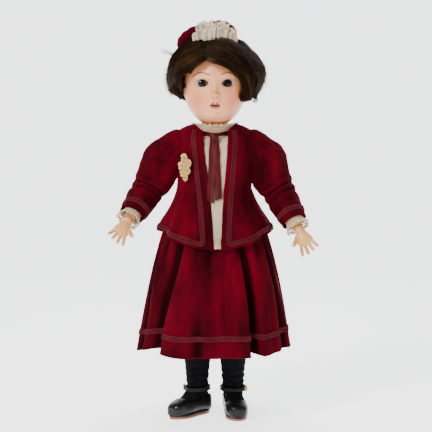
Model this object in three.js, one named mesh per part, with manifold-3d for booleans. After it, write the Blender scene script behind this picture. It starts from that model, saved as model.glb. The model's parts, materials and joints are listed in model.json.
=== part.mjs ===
// A dressed girl doll: bisque socket head with sleeping eyes, strung ball-jointed body, velvet suit.
// Millimetres, +Z up, the doll faces -Y and its left side is at +X. It stands on z = 0.
import * as THREE from 'three';
import { mergeVertices } from 'three/addons/utils/BufferGeometryUtils.js';
import Module from 'manifold-3d';

// Clearances and walls
const GAP = 0.3;
const CLOTH = 1.5;
const LACE = 1.1;
const BODY_WALL = 4.5;
const SOCKET_WALL = 3.2;
const BISQUE_WALL = 3.4;

// Feet and legs
const SOLE_THICKNESS = 4;
const SHOE_LENGTH = 78;
const SHOE_WIDTH = 34;
const SHOE_LEATHER = 1.3;
const FOOT_HEIGHT = 33;
const SHIN_LENGTH = 121;
const THIGH_LENGTH = 108;
const ANKLE_RADIUS = 12.5;
const CALF_RADIUS = 16.5;
const KNEE_BALL_RADIUS = 15;
const THIGH_RADIUS = 21;
const HIP_BALL_RADIUS = 18;
const HIP_SPACING = 53;
const STOCKING = 1.2;
const STOCKING_TOP = 26;
const RIGHT_TOE_OUT = 42;
const LEFT_TOE_OUT = 8;
const STRAP_WIDTH = 7;
const STRAP_THICKNESS = 1.4;

// Body
const TORSO_LENGTH = 126;
const TORSO_HALF_WIDTH = 42;
const WAIST_HEIGHT = 60;
const SHOULDER_SPACING = 114;
const SHOULDER_BALL_RADIUS = 13;
const NECK_RISE = 32;
const NECK_DOME_RADIUS = 21;

// Arms
const UPPER_ARM_LENGTH = 76;
const FOREARM_LENGTH = 66;
const ELBOW_BALL_RADIUS = 11.5;
const WRIST_BALL_RADIUS = 7.5;
const UPPER_ARM_RADIUS = 13;
const FOREARM_RADIUS = 10.5;
const PALM_LENGTH = 22;
const PALM_WIDTH = 23;
const FINGER_LENGTH = 20;
const FINGER_RADIUS = 2.6;
const RIGHT_ARM_SPREAD = 32.5;
const LEFT_ARM_SPREAD = 28;
const RIGHT_ELBOW_BEND = 42;
const LEFT_ELBOW_BEND = 30;

// Head
const HEAD_HEIGHT = 115;
const HEAD_WIDTH = 91;
const HEAD_DEPTH = 101;
const CROWN_OPENING_HEIGHT = 104;
const EYE_SPACING = 37;
const EYE_RADIUS = 12;
const EYE_OPENING_WIDTH = 19;
const EYE_OPENING_HEIGHT = 11.5;
const MOUTH_WIDTH = 12;
const MOUTH_HEIGHT = 3.4;
const WIG_WIDTH = 139;
const WIG_DEPTH = 124;
const HAIR_ON_CROWN = 11;

// Stringing
const ELASTIC_RADIUS = 1.8;
const STRING_BORE_RADIUS = 4.5;
const HOOK_WIRE_RADIUS = 1.1;
const CORD_END = 0.7;

// Clothes
const SKIRT_LENGTH = 228;
const SKIRT_HEM_HALF_WIDTH = 116;
const JACKET_LENGTH = 150;
const JACKET_HEM_HALF_WIDTH = 86;
const ARMHOLE_RADIUS = 23;
const CUFF_LENGTH = 17;
const RIBBON_WIDTH = 10;
const RIBBON_TAIL = 92;

// Heights above the floor and other places worked out from the lengths
const ANKLE_Z = SOLE_THICKNESS + FOOT_HEIGHT;
const KNEE_Z = ANKLE_Z + SHIN_LENGTH;
const HIP_Z = KNEE_Z + THIGH_LENGTH;
const SHOULDER_Z = HIP_Z + TORSO_LENGTH;
const NECK_Z = SHOULDER_Z + NECK_RISE;
const WAIST_Z = HIP_Z + WAIST_HEIGHT;
const HIP_X = HIP_SPACING / 2;
const SHOULDER_X = SHOULDER_SPACING / 2;

const wasm = await Module();
wasm.setup();

const vec = (x, y, z) => new THREE.Vector3(x, y, z);
const mix = (a, b, t) => a + (b - a) * t;
const clamp = (t) => Math.min(1, Math.max(0, t));
const radians = (degrees) => (degrees * Math.PI) / 180;
const bell = (t, centre, width) => Math.exp(-(((t - centre) / width) ** 2));
const TURN = 2 * Math.PI;

// A rise from 0 to 1 between two values, with level ends
function ease(from, to, t) {
  const s = clamp((t - from) / (to - from));
  return s * s * (3 - 2 * s);
}

// A smooth curve through a few knots, each one a position and the values there
function through(knots) {
  const slope = (index, value) => {
    const before = knots[Math.max(0, index - 1)];
    const after = knots[Math.min(knots.length - 1, index + 1)];
    return (after[value] - before[value]) / (after[0] - before[0]);
  };
  return (position) => {
    let index = 0;
    while (index < knots.length - 2 && position > knots[index + 1][0]) {
      index += 1;
    }
    const low = knots[index];
    const high = knots[index + 1];
    const span = high[0] - low[0];
    const t = clamp((position - low[0]) / span);
    const values = [];
    for (let value = 1; value < low.length; value += 1) {
      const start = low[value] * (1 + 2 * t) * (1 - t) ** 2 + slope(index, value) * span * t * (1 - t) ** 2;
      const end = high[value] * t * t * (3 - 2 * t) + slope(index + 1, value) * span * t * t * (t - 1);
      values.push(start + end);
    }
    return values;
  };
}

// Triangles and points as a geometry whose faces point outwards
function outward(points, faces) {
  let volume = 0;
  for (let face = 0; face < faces.length; face += 3) {
    const [a, b, c] = [points[faces[face]], points[faces[face + 1]], points[faces[face + 2]]];
    volume += a.dot(b.clone().cross(c));
  }
  const order = volume < 0 ? faces.reverse() : faces;
  const geometry = new THREE.BufferGeometry();
  geometry.setAttribute('position', new THREE.Float32BufferAttribute(points.flatMap((p) => p.toArray()), 3));
  geometry.setIndex(order);
  return geometry;
}

// A solid through rings of points: a stack is closed by a fan at each end, a loop closes on itself
function ringSolid(rings, looped = false) {
  const count = rings[0].length;
  const points = rings.flat();
  const faces = [];
  const rows = looped ? rings.length : rings.length - 1;
  for (let row = 0; row < rows; row += 1) {
    const next = (row + 1) % rings.length;
    for (let column = 0; column < count; column += 1) {
      const beside = (column + 1) % count;
      const [a, b] = [row * count + column, row * count + beside];
      const [c, d] = [next * count + column, next * count + beside];
      faces.push(a, b, d, a, d, c);
    }
  }
  if (!looped) {
    for (const row of [0, rings.length - 1]) {
      const middle = vec(0, 0, 0);
      rings[row].forEach((point) => middle.addScaledVector(point, 1 / count));
      points.push(middle);
      for (let column = 0; column < count; column += 1) {
        const [a, b] = [row * count + column, row * count + ((column + 1) % count)];
        faces.push(...(row === 0 ? [points.length - 1, b, a] : [points.length - 1, a, b]));
      }
    }
  }
  return outward(points, faces);
}

// A sheet of cloth under a surface whose first direction runs anticlockwise seen from above
// and whose second runs down. A sheet that wraps has no side edges.
function sheetSolid(surface, thickness, across, down, wraps = false) {
  const step = 1e-3;
  const columns = wraps ? across : across + 1;
  const outer = [];
  const inner = [];
  for (let row = 0; row <= down; row += 1) {
    for (let column = 0; column < columns; column += 1) {
      const [u, v] = [column / across, row / down];
      const [u0, u1] = wraps ? [u - step, u + step] : [Math.max(0, u - step), Math.min(1, u + step)];
      const alongU = surface(u1, v).sub(surface(u0, v));
      const alongV = surface(u, Math.min(1, v + step)).sub(surface(u, Math.max(0, v - step)));
      const normal = alongV.cross(alongU).normalize();
      const point = surface(u, v);
      outer.push(point);
      inner.push(point.clone().addScaledVector(normal, -thickness));
    }
  }
  const faces = [];
  const under = outer.length;
  const patch = (a, b, c, d) => faces.push(a, b, d, a, d, c);
  for (let row = 0; row < down; row += 1) {
    for (let column = 0; column < across; column += 1) {
      const beside = (column + 1) % columns;
      const [a, b] = [row * columns + column, row * columns + beside];
      const [c, d] = [a + columns, b + columns];
      patch(a, b, c, d);
      patch(under + b, under + a, under + d, under + c);
    }
    if (!wraps) {
      const left = row * columns;
      const right = left + across;
      patch(under + left, left, under + left + columns, left + columns);
      patch(right, under + right, right + columns, under + right + columns);
    }
  }
  for (let column = 0; column < across; column += 1) {
    const beside = (column + 1) % columns;
    const bottom = down * columns;
    patch(under + column, under + beside, column, beside);
    patch(bottom + column, bottom + beside, under + bottom + column, under + bottom + beside);
  }
  return outward([...outer, ...inner], faces);
}

// A level ring round an upright axis, with its own front and back depths
function ring(z, halfWidth, front, back, count, centre = [0, 0]) {
  return Array.from({ length: count }, (_, index) => {
    const angle = (index / count) * TURN;
    return aroundAt(angle, z, halfWidth, front, back).add(vec(centre[0], centre[1], 0));
  });
}

// The point at an angle from the front, where +90 degrees is the doll's left side
function aroundAt(angle, z, halfWidth, front, back) {
  const depth = Math.cos(angle) > 0 ? front : back;
  return vec(halfWidth * Math.sin(angle), -depth * Math.cos(angle), z);
}

function toSolid(geometry) {
  const bare = geometry.clone();
  bare.deleteAttribute('normal');
  bare.deleteAttribute('uv');
  const merged = mergeVertices(bare, 1e-4);
  return new wasm.Manifold(new wasm.Mesh({
    numProp: 3,
    vertProperties: new Float32Array(merged.attributes.position.array),
    triVerts: new Uint32Array(merged.index.array),
  }));
}

function toGeometry(solid) {
  const mesh = solid.getMesh();
  const geometry = new THREE.BufferGeometry();
  geometry.setAttribute('position', new THREE.BufferAttribute(mesh.vertProperties, 3));
  geometry.setIndex(new THREE.BufferAttribute(mesh.triVerts, 1));
  return geometry;
}

// A piece joined from several geometries, less the ones that are cut away
function carve(joined, cut = []) {
  let solid = toSolid(joined[0]);
  joined.slice(1).forEach((geometry) => {
    solid = solid.add(toSolid(geometry));
  });
  cut.forEach((geometry) => {
    solid = solid.subtract(toSolid(geometry));
  });
  return toGeometry(solid);
}

function keepInside(geometry, bounds) {
  return toGeometry(toSolid(geometry).intersect(toSolid(bounds)));
}

// A faceted ball at a place
function ball(radius, at, sides = 16) {
  const geometry = new THREE.SphereGeometry(radius, sides, sides / 2);
  geometry.rotateX(Math.PI / 2);
  return geometry.translate(at.x, at.y, at.z);
}

// A hollow whose flat facets all clear a ball of the given radius
function socket(radius, at, sides = 16) {
  return ball((radius + GAP) / Math.cos(Math.PI / sides) ** 2, at, sides);
}

// A round bar between two points, for bores and pins
function bar(radius, from, to, sides = 8) {
  const along = to.clone().sub(from);
  const geometry = new THREE.CylinderGeometry(radius, radius, along.length(), sides);
  geometry.applyQuaternion(new THREE.Quaternion().setFromUnitVectors(vec(0, 1, 0), along.normalize()));
  const middle = from.clone().add(to).multiplyScalar(0.5);
  return geometry.translate(middle.x, middle.y, middle.z);
}

function block(low, high) {
  const size = high.clone().sub(low);
  const middle = high.clone().add(low).multiplyScalar(0.5);
  return new THREE.BoxGeometry(size.x, size.y, size.z).translate(middle.x, middle.y, middle.z);
}

// A round strand along a smooth path through a few points
function strand(points, radius, steps, sides = 6) {
  const section = new THREE.Shape();
  section.absarc(0, 0, radius, 0, TURN, false);
  const path = new THREE.CatmullRomCurve3(points, false, 'centripetal');
  const curveSegments = sides / 2;
  return new THREE.ExtrudeGeometry(section, { steps, curveSegments, bevelEnabled: false, extrudePath: path });
}

const COLOURS = {
  bisque: [0xf0cdbb, 0.42, 0],
  pate: [0xa98a63, 0.9, 0],
  hair: [0x2a1a12, 0.55, 0],
  velvet: [0x6e0a1e, 0.85, 0],
  lace: [0xe9dcc4, 0.9, 0],
  satin: [0x5f1420, 0.4, 0],
  linen: [0xefe8da, 0.9, 0],
  composition: [0xdcaf80, 0.5, 0],
  enamel: [0xf6f1e6, 0.25, 0],
  glass: [0xf2efe9, 0.05, 0],
  lead: [0x6c6f73, 0.6, 0.8],
  wire: [0x9a9288, 0.35, 0.9],
  wood: [0xb98d5a, 0.7, 0],
  elastic: [0xcfc4ae, 0.9, 0],
  knit: [0x15151a, 0.9, 0],
  leather: [0x120f10, 0.3, 0],
  soleLeather: [0x7a4a2a, 0.6, 0],
  brass: [0xc9a45a, 0.35, 0.9],
  petals: [0xe8d9a8, 0.8, 0],
};

function piece(name, geometry, finish) {
  const [color, roughness, metalness] = COLOURS[finish];
  const mesh = new THREE.Mesh(geometry, new THREE.MeshStandardMaterial({ color, roughness, metalness }));
  mesh.name = name;
  return mesh;
}

// Torso: a moulded shell with round sockets for the neck, arms and legs
const NECK_STUMP_RADIUS = NECK_DOME_RADIUS + GAP + SOCKET_WALL;
const NECK_RIM_Z = NECK_Z - 9;
const torsoShape = through([
  [HIP_Z - 12, 24, 14, 16],
  [HIP_Z - 4, 38, 25, 29],
  [HIP_Z + 16, 47, 34, 35],
  [WAIST_Z - 20, 42, 34, 30],
  [WAIST_Z + 2, 37, 30.5, 26],
  [SHOULDER_Z - 34, TORSO_HALF_WIDTH - 2, 33, 29],
  [SHOULDER_Z - 12, TORSO_HALF_WIDTH + 3, 31, 29],
  [SHOULDER_Z + 4, TORSO_HALF_WIDTH + 4.5, 27, 26],
  [SHOULDER_Z + 11, 32, 25, 25],
  [SHOULDER_Z + 15, NECK_STUMP_RADIUS, NECK_STUMP_RADIUS, NECK_STUMP_RADIUS],
  [NECK_RIM_Z, NECK_STUMP_RADIUS, NECK_STUMP_RADIUS, NECK_STUMP_RADIUS],
]);
const torsoLevels = [
  ...[-12, -4, 6, 16].map((rise) => HIP_Z + rise),
  ...[-20, 2, 22].map((rise) => WAIST_Z + rise),
  ...[-34, -12, 4, 11, 15].map((rise) => SHOULDER_Z + rise),
  NECK_RIM_Z,
];

function torsoRings(wall, count) {
  return torsoLevels.map((z, index) => {
    const level = index === 0 ? z + wall : z;
    const [halfWidth, front, back] = torsoShape(level).map((size) => size - wall);
    return ring(level, halfWidth, front, back, count);
  });
}

// What the thigh sweeps as it swings from behind the body to the sitting place
function hipSweep(side) {
  const outline = [[60, -40], [60, 1], [-6, 1], [-9.5, 15], [-60, 22], [-60, -40]];
  const shape = new THREE.Shape(outline.map(([y, z]) => new THREE.Vector2(y, z)));
  const width = 2 * (THIGH_RADIUS + 1);
  const prism = new THREE.ExtrudeGeometry(shape, { depth: width, bevelEnabled: false });
  prism.rotateX(Math.PI / 2).rotateZ(Math.PI / 2);
  return prism.translate(side * HIP_X - width / 2, 0, HIP_Z);
}

const shoulderAt = (side) => vec(side * SHOULDER_X, 0, SHOULDER_Z);
const hipAt = (side) => vec(side * HIP_X, 0, HIP_Z);
const neckAt = vec(0, 0, NECK_Z);

function torsoGeometry() {
  const outer = ringSolid(torsoRings(0, 16));
  const hollow = ringSolid(torsoRings(BODY_WALL, 10));
  const cups = [
    ball(NECK_STUMP_RADIUS, neckAt, 12),
    ...[-1, 1].map((side) => ball(SHOULDER_BALL_RADIUS + GAP + SOCKET_WALL, shoulderAt(side), 10)),
    ...[-1, 1].map((side) => ball(HIP_BALL_RADIUS + GAP + SOCKET_WALL, hipAt(side), 10)),
  ];
  const shell = carve([carve([outer], [hollow]), ...cups.map((cup) => keepInside(cup, outer))]);
  const sockets = [
    socket(NECK_DOME_RADIUS, neckAt, 16),
    bar(9, neckAt, vec(0, 0, NECK_Z - NECK_STUMP_RADIUS - 6)),
  ];
  [-1, 1].forEach((side) => {
    sockets.push(socket(SHOULDER_BALL_RADIUS, shoulderAt(side), 10));
    sockets.push(bar(STRING_BORE_RADIUS, shoulderAt(side), vec(side * (SHOULDER_X - 30), 0, SHOULDER_Z)));
    sockets.push(socket(HIP_BALL_RADIUS, hipAt(side), 12));
    sockets.push(bar(STRING_BORE_RADIUS + 2, hipAt(side), vec(side * (HIP_X - 8), 0, HIP_Z + 34)));
    sockets.push(hipSweep(side));
  });
  return carve([shell], sockets);
}

// Head: rings from the neck dome to the crown opening, with the face as soft rises and hollows
const HEAD_CENTRE_Z = NECK_Z + 63;
const SKULL_TOP_Z = NECK_Z + HEAD_HEIGHT + 2;
const SKULL_Y = -2;
const EYE_Z = NECK_Z + 57;
const MOUTH_Z = NECK_Z + 26;
const CROWN_Z = NECK_Z + CROWN_OPENING_HEIGHT;
const EYE_Y = -31;
const headShape = through([
  [NECK_Z - 1, 18.5, 18.5, 18.5],
  [NECK_Z + 2, 19, 24, 18.5],
  [NECK_Z + 6, 24, 38, 20],
  [NECK_Z + 14, 32, 45, 25],
  [NECK_Z + 26, 39, 48, 33],
  [NECK_Z + 40, 43.5, 50, 41],
  [HEAD_CENTRE_Z - 6, HEAD_WIDTH / 2, HEAD_DEPTH / 2, HEAD_DEPTH / 2 - 2],
  [HEAD_CENTRE_Z, HEAD_WIDTH / 2, HEAD_DEPTH / 2, HEAD_DEPTH / 2],
]);

// Half-width, front and back of the skull at a height
function headSizes(z) {
  if (z <= HEAD_CENTRE_Z) {
    return headShape(z);
  }
  const lift = clamp((z - HEAD_CENTRE_Z) / (SKULL_TOP_Z - HEAD_CENTRE_Z));
  const spread = Math.sqrt(1 - lift * lift);
  return [spread * (HEAD_WIDTH / 2), spread * (HEAD_DEPTH / 2), spread * (HEAD_DEPTH / 2)];
}

// How far the face stands forward of the plain egg at a place
function faceRelief(x, z) {
  const across = Math.abs(x);
  const bridge = 3.4 * bell(x, 0, 4.2) * bell(z, NECK_Z + 50, 9);
  const tip = 7.6 * bell(x, 0, 5) * bell(z, NECK_Z + 41, 5);
  const sockets = -4.6 * bell(across, EYE_SPACING / 2, 10.5) * bell(z, EYE_Z, 8);
  const cheeks = 2.6 * bell(across, 25, 12) * bell(z, NECK_Z + 32, 12);
  const upperLip = 2.6 * bell(across, 3.2, 4.6) * bell(z, MOUTH_Z + 3, 3.2);
  const lowerLip = 3 * bell(x, 0, 5.4) * bell(z, MOUTH_Z - 3.6, 3.2);
  const underLip = -1.4 * bell(x, 0, 9) * bell(z, MOUTH_Z - 9, 3.4);
  const chin = 3.6 * bell(x, 0, 9) * bell(z, NECK_Z + 10, 7);
  const brow = 1.2 * bell(across, 18, 12) * bell(z, NECK_Z + 70, 6);
  return bridge + tip + sockets + cheeks + upperLip + lowerLip + underLip + chin + brow;
}

function headPoint(angle, z, wall = 0) {
  const [halfWidth, front, back] = headSizes(z).map((size) => size - wall);
  const point = aroundAt(angle, z, halfWidth, front, back);
  point.y += SKULL_Y * ease(NECK_Z, HEAD_CENTRE_Z, z);
  const facing = Math.max(0, Math.cos(angle));
  const depth = wall > 0 ? 0.5 : 1;
  point.y -= depth * faceRelief(point.x, z) * Math.sqrt(facing);
  const ear = wall > 0 ? 0 : 3.6 * bell(z, NECK_Z + 50, 8) * bell(Math.abs(Math.sin(angle)), 1, 0.03);
  point.x += Math.sign(point.x) * ear;
  return point;
}

function headRings(levels, wall, count) {
  return levels.map((z) => (
    Array.from({ length: count }, (_, index) => headPoint((index / count) * TURN, z, wall))
  ));
}

const NECK_HOLE_RADIUS = 7.5;

// Rings of the round neck base, from its hole up to its widest
function domeRings(radius, count) {
  const start = Math.asin(NECK_HOLE_RADIUS / radius);
  return [0, 0.5, 1].map((t) => {
    const polar = mix(start, radians(76), t);
    const size = radius * Math.sin(polar);
    return ring(NECK_Z - radius * Math.cos(polar), size, size, size, count);
  });
}

function almond(width, height, at) {
  const outline = new THREE.Shape();
  outline.moveTo(-width / 2, 0);
  outline.bezierCurveTo(-width / 4, height * 0.66, width / 4, height * 0.66, width / 2, 0);
  outline.bezierCurveTo(width / 4, -height * 0.66, -width / 4, -height * 0.66, -width / 2, 0);
  const cutter = new THREE.ExtrudeGeometry(outline, { depth: 40, curveSegments: 5, bevelEnabled: false });
  return cutter.rotateX(Math.PI / 2).translate(at.x, at.y, at.z);
}

const eyeAt = (side) => vec(side * (EYE_SPACING / 2), EYE_Y, EYE_Z);

function headGeometry() {
  const count = 28;
  const rise = [3, 7, 11, 16, 20, 24, 26, 29, 33, 37, 41, 45, 50, 57, 64, 73, 84, 95];
  const levels = [...rise.map((step) => NECK_Z + step), CROWN_Z];
  const innerLevels = [CROWN_Z, NECK_Z + 82, NECK_Z + 57, NECK_Z + 36, NECK_Z + 18, NECK_Z + 8];
  const outer = [...domeRings(NECK_DOME_RADIUS, count), ...headRings(levels, 0, count)];
  const inner = headRings(innerLevels, BISQUE_WALL, count);
  const dome = domeRings(NECK_DOME_RADIUS - BISQUE_WALL, count).reverse();
  const shell = ringSolid([...outer, ...inner, ...dome], true);
  const eyes = [-1, 1].flatMap((side) => [
    almond(EYE_OPENING_WIDTH, EYE_OPENING_HEIGHT, vec(eyeAt(side).x, -25, EYE_Z)),
    socket(EYE_RADIUS, eyeAt(side), 14),
  ]);
  const mouth = almond(MOUTH_WIDTH, MOUTH_HEIGHT, vec(0, -25, MOUTH_Z));
  return carve([shell], [...eyes, mouth]);
}

// Pate: the domed card that closes the crown
function pateGeometry() {
  const levels = [0, 0.4, 0.75, 1];
  const low = CROWN_Z + GAP;
  const skin = (wall) => levels.map((t) => {
    const top = SKULL_TOP_Z - wall;
    const z = mix(low, top - 0.6, 1 - (1 - t) ** 2);
    const spread = Math.sqrt(1 - ((z - HEAD_CENTRE_Z) / (top - HEAD_CENTRE_Z)) ** 2);
    const [across, along] = [spread * (HEAD_WIDTH / 2 - wall), spread * (HEAD_DEPTH / 2 - wall)];
    return ring(z, across, along, along, 16, [0, SKULL_Y]);
  });
  return ringSolid([...skin(2.4).reverse(), ...skin(0)].reverse());
}

// Wig: a full bob, parted over the forehead and turned under at the sides
const WIG_Z = NECK_Z + 68;
const wigEdge = (angle) => {
  const side = Math.abs(Math.atan2(Math.sin(angle), Math.cos(angle)));
  const parting = 12 * bell(Math.sin(angle), -0.24, 0.13);
  const fringe = NECK_Z + 77 + parting + 4 * bell(Math.sin(angle), -0.6, 0.12);
  const temple = ease(radians(28), radians(62), side);
  const nape = ease(radians(95), radians(150), side);
  return mix(mix(fringe, NECK_Z + 36, temple), NECK_Z + 22, nape);
};

function wigPoint(angle, t, outside) {
  const edge = wigEdge(angle);
  const top = outside ? SKULL_TOP_Z + HAIR_ON_CROWN : SKULL_TOP_Z + 3.5;
  const lobes = 1 + 0.018 * Math.sin(7 * angle + 5 * t) + 0.014 * Math.sin(13 * angle - 3 * t);
  const fuller = 1 + 0.03 * Math.max(0, Math.sin(angle));
  const out = outside ? lobes * fuller : 1;
  const halfWidth = outside ? (WIG_WIDTH / 2) * 0.985 : HEAD_WIDTH / 2 + 2.6;
  const frontHalf = outside ? WIG_DEPTH / 2 - 1 : HEAD_DEPTH / 2 + 2.6;
  const backHalf = outside ? WIG_DEPTH / 2 + 2 : HEAD_DEPTH / 2 + 2.6;
  const centre = outside ? WIG_Z : HEAD_CENTRE_Z;
  const drop = top - edge;
  const z = top - drop * (1 - Math.cos(t * Math.PI * 0.5)) ** 0.9;
  const below = clamp((centre - z) / 60);
  const above = clamp((z - centre) / (top - centre));
  const spread = Math.sqrt(1 - above ** 2) * (outside ? 1 - 0.55 * below ** 2 : 1);
  const size = spread * out;
  const point = aroundAt(angle, z, halfWidth * size, frontHalf * size, backHalf * size);
  point.y += SKULL_Y;
  if (!outside) {
    const overEar = 4.5 * ease(NECK_Z + 66, NECK_Z + 56, z) * Math.sin(angle) ** 4;
    point.x += Math.sign(point.x) * overEar;
  }
  return point;
}

function wigGeometry() {
  const count = 28;
  const skin = (steps, outside) => Array.from({ length: steps }, (_, row) => {
    const t = mix(0.12, 1, row / (steps - 1));
    return Array.from({ length: count }, (_unused, column) => wigPoint((column / count) * TURN, t, outside));
  });
  return ringSolid([...skin(9, true), ...skin(5, false).reverse()]);
}

// Four upper teeth on a small plate behind the lips
function teethGeometry() {
  const toothY = -headSizes(MOUTH_Z)[1] + BISQUE_WALL + 1.2;
  const plate = block(vec(-6.4, toothY, MOUTH_Z - 0.4), vec(6.4, toothY + 2, MOUTH_Z + 4));
  const teeth = [-1.5, -0.5, 0.5, 1.5].map((place) => {
    const tooth = new THREE.CylinderGeometry(1.3, 1.1, 3, 6).rotateX(Math.PI / 2);
    return tooth.scale(1, 0.7, 1).translate(place * 2.5, toothY + 0.4, MOUTH_Z + 0.2);
  });
  return carve([plate, ...teeth]);
}

// Hat: a flat velvet cap on the back of the crown and a gathered lace ruffle before it
const HAT_AT = vec(-12, 21, SKULL_TOP_Z + HAIR_ON_CROWN - 4);

function wigHull(clearance) {
  const hull = new THREE.SphereGeometry(1, 20, 14).rotateX(Math.PI / 2);
  const height = SKULL_TOP_Z + HAIR_ON_CROWN - WIG_Z;
  const halfWidth = (WIG_WIDTH / 2) * 1.04;
  hull.scale(halfWidth + clearance, WIG_DEPTH / 2 + 4 + clearance, height + clearance);
  return hull.translate(0, SKULL_Y, WIG_Z);
}

// The cap's blank, grown by a clearance where it cuts its neighbour
function hatBlank(grow) {
  const profile = [[0, -10], [36, -8], [45, -4], [47, 1], [40, 6], [24, 8.6], [0, 9]];
  const points = profile.map(([radius, height]) => {
    const lift = height + Math.sign(height) * grow;
    return new THREE.Vector2(radius > 0 ? radius + grow : 0, lift);
  });
  const cap = new THREE.LatheGeometry(points, 20).rotateX(Math.PI / 2);
  return cap.rotateX(radians(-22)).rotateY(radians(-15)).translate(HAT_AT.x, HAT_AT.y, HAT_AT.z);
}

function hatLaceGeometry() {
  const surface = (u, v) => {
    const angle = mix(radians(52), radians(-50), 1 - u);
    const flare = mix(9, -3, v);
    const ripple = 3.2 * Math.sin(u * 6 * TURN) * (1 - 0.75 * v);
    const reach = 38 + flare * 0.5 + ripple;
    const x = reach * Math.sin(angle) + 1;
    const y = -14 - (reach - 24) * Math.cos(angle) + 6 * Math.abs(Math.sin(angle));
    return vec(x, y, SKULL_TOP_Z + HAIR_ON_CROWN + mix(21, -9, v) - 0.006 * x * x);
  };
  const ruffle = sheetSolid(surface, LACE, 24, 2);
  return carve([ruffle], [wigHull(2 * GAP + 0.6), hatBlank(GAP)]);
}

// Sleeping eyes: two glass balls on a rocker with a lead weight that swings behind them
const ROCKER_WIRE_RADIUS = 1.5;
const rockerAxis = vec(0, EYE_Y, EYE_Z);
const rockerEnd = vec(0, EYE_Y + 13, EYE_Z - 21);

function rockerGeometry() {
  const half = EYE_SPACING / 2 - EYE_RADIUS - GAP;
  const rod = bar(ROCKER_WIRE_RADIUS, vec(-half, EYE_Y, EYE_Z), vec(half, EYE_Y, EYE_Z), 10);
  return carve([rod, bar(ROCKER_WIRE_RADIUS, rockerAxis, rockerEnd, 10)]);
}

function weightGeometry() {
  const stem = rockerEnd.clone().sub(rockerAxis);
  const lead = ball(7.5, rockerEnd.clone().addScaledVector(stem, 0.24), 10);
  const bored = rockerEnd.clone().addScaledVector(stem, 0.02);
  return carve([lead], [bar(ROCKER_WIRE_RADIUS + GAP, rockerAxis, bored, 10)]);
}

// Neck: a turned wooden button inside the neck base and the hook that holds the head down
const NECK_BUTTON_RADIUS = NECK_DOME_RADIUS - BISQUE_WALL - 1.8;
const NECK_BUTTON_HEIGHT = 9;

function neckButtonGeometry() {
  const radius = NECK_BUTTON_RADIUS;
  const disc = ball(radius, neckAt, 14);
  const topZ = NECK_Z - radius + NECK_BUTTON_HEIGHT;
  const keep = block(vec(-radius, -radius, NECK_Z - radius - 1), vec(radius, radius, topZ));
  const bore = bar(HOOK_WIRE_RADIUS + GAP, vec(0, 0, NECK_Z - 40), neckAt);
  return carve([keepInside(disc, keep)], [bore]);
}

const HOOK_BASE_Z = NECK_Z - 40;

function neckHookGeometry() {
  const top = NECK_Z - NECK_BUTTON_RADIUS + NECK_BUTTON_HEIGHT + GAP;
  const route = [
    vec(-5, 0, top + 1.6), vec(-3, 0, top + 1.6), vec(-0.7, 0, top + 1.2), vec(0, 0, top - 1.5),
    vec(0, 0, NECK_Z - 20), vec(0, 0, HOOK_BASE_Z + 12),
    vec(2.6, 0, HOOK_BASE_Z + 7), vec(5.4, 0, HOOK_BASE_Z + 3.5),
    vec(4.4, 0, HOOK_BASE_Z), vec(0, 0, HOOK_BASE_Z - 1.6),
    vec(-4.4, 0, HOOK_BASE_Z), vec(-5.4, 0, HOOK_BASE_Z + 4),
  ];
  return strand(route, HOOK_WIRE_RADIUS, 24, 4);
}

// Clothes of the body. Each profile gives height, half-width, front and back down the cloth
const HEM_Z = WAIST_Z - SKIRT_LENGTH;
const NECK_EDGE_Z = NECK_Z - 10;
const JACKET_HEM_Z = NECK_EDGE_Z - JACKET_LENGTH;
const jacketShape = through([
  [0, NECK_EDGE_Z, 33, 31, 31],
  [0.1, NECK_EDGE_Z - 4, 44, 36, 33],
  [0.2, SHOULDER_Z + 10, 54, 40, 34],
  [0.36, SHOULDER_Z - 16, 49, 44, 38],
  [0.5, SHOULDER_Z - 40, 48, 45, 38],
  [0.64, WAIST_Z, 54, 46, 40],
  [0.8, WAIST_Z - 28, 67, 60, 53],
  [1, JACKET_HEM_Z, JACKET_HEM_HALF_WIDTH, 77, 70],
]);
const jacketFolds = [-2.6, -2.0, -1.1, 1.0, 1.9, 2.5, 3.14];

function jacketSurface(u, v) {
  const [z, halfWidth, front, back] = jacketShape(v);
  const down = ease(0.15, 1, v);
  const leftEdge = Math.asin(mix(19, 9, down) / halfWidth);
  const rightEdge = Math.asin(mix(17, 2, down) / halfWidth);
  const angle = mix(leftEdge, TURN - rightEdge, u);
  const signed = angle > Math.PI ? angle - TURN : angle;
  const flare = ease(0.66, 1, v);
  const folds = jacketFolds.reduce((sum, place) => sum + bell(signed, place, 0.16), 0);
  const point = aroundAt(signed, z, halfWidth, front, back);
  return point.multiply(vec(1 - 0.05 * flare * folds, 1 - 0.05 * flare * folds, 1));
}

function jacketGeometry() {
  const cloth = sheetSolid(jacketSurface, CLOTH, 28, 9);
  const armholes = [-1, 1].map((side) => ball(ARMHOLE_RADIUS, shoulderAt(side), 16));
  return carve([cloth], armholes);
}

// Skirt: gathered to the waist, with two deep pleats beside the front panel and rounder folds behind
const skirtShape = through([
  [0, WAIST_Z - 1, 41.1, 34.6, 30.1],
  [0.06, WAIST_Z - 14, 50, 43, 39],
  [0.14, WAIST_Z - 32, 61, 51, 47],
  [0.28, WAIST_Z - 64, 77, 67, 62],
  [0.6, mix(WAIST_Z, HEM_Z, 0.6), 98, 88, 84],
  [1, HEM_Z, SKIRT_HEM_HALF_WIDTH, 100, 100],
]);
const skirtFolds = [
  [-43, 17, 7], [26, 15, 7], [-14, 4, 8], [60, 8, 8], [-72, 8, 8], [88, 9, 9],
  [-100, 9, 9], [118, 10, 9], [-130, 10, 9], [148, 10, 9], [-160, 9, 8], [177, 10, 9],
].map(([place, depth, width]) => [radians(place), depth, radians(width)]);

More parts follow.
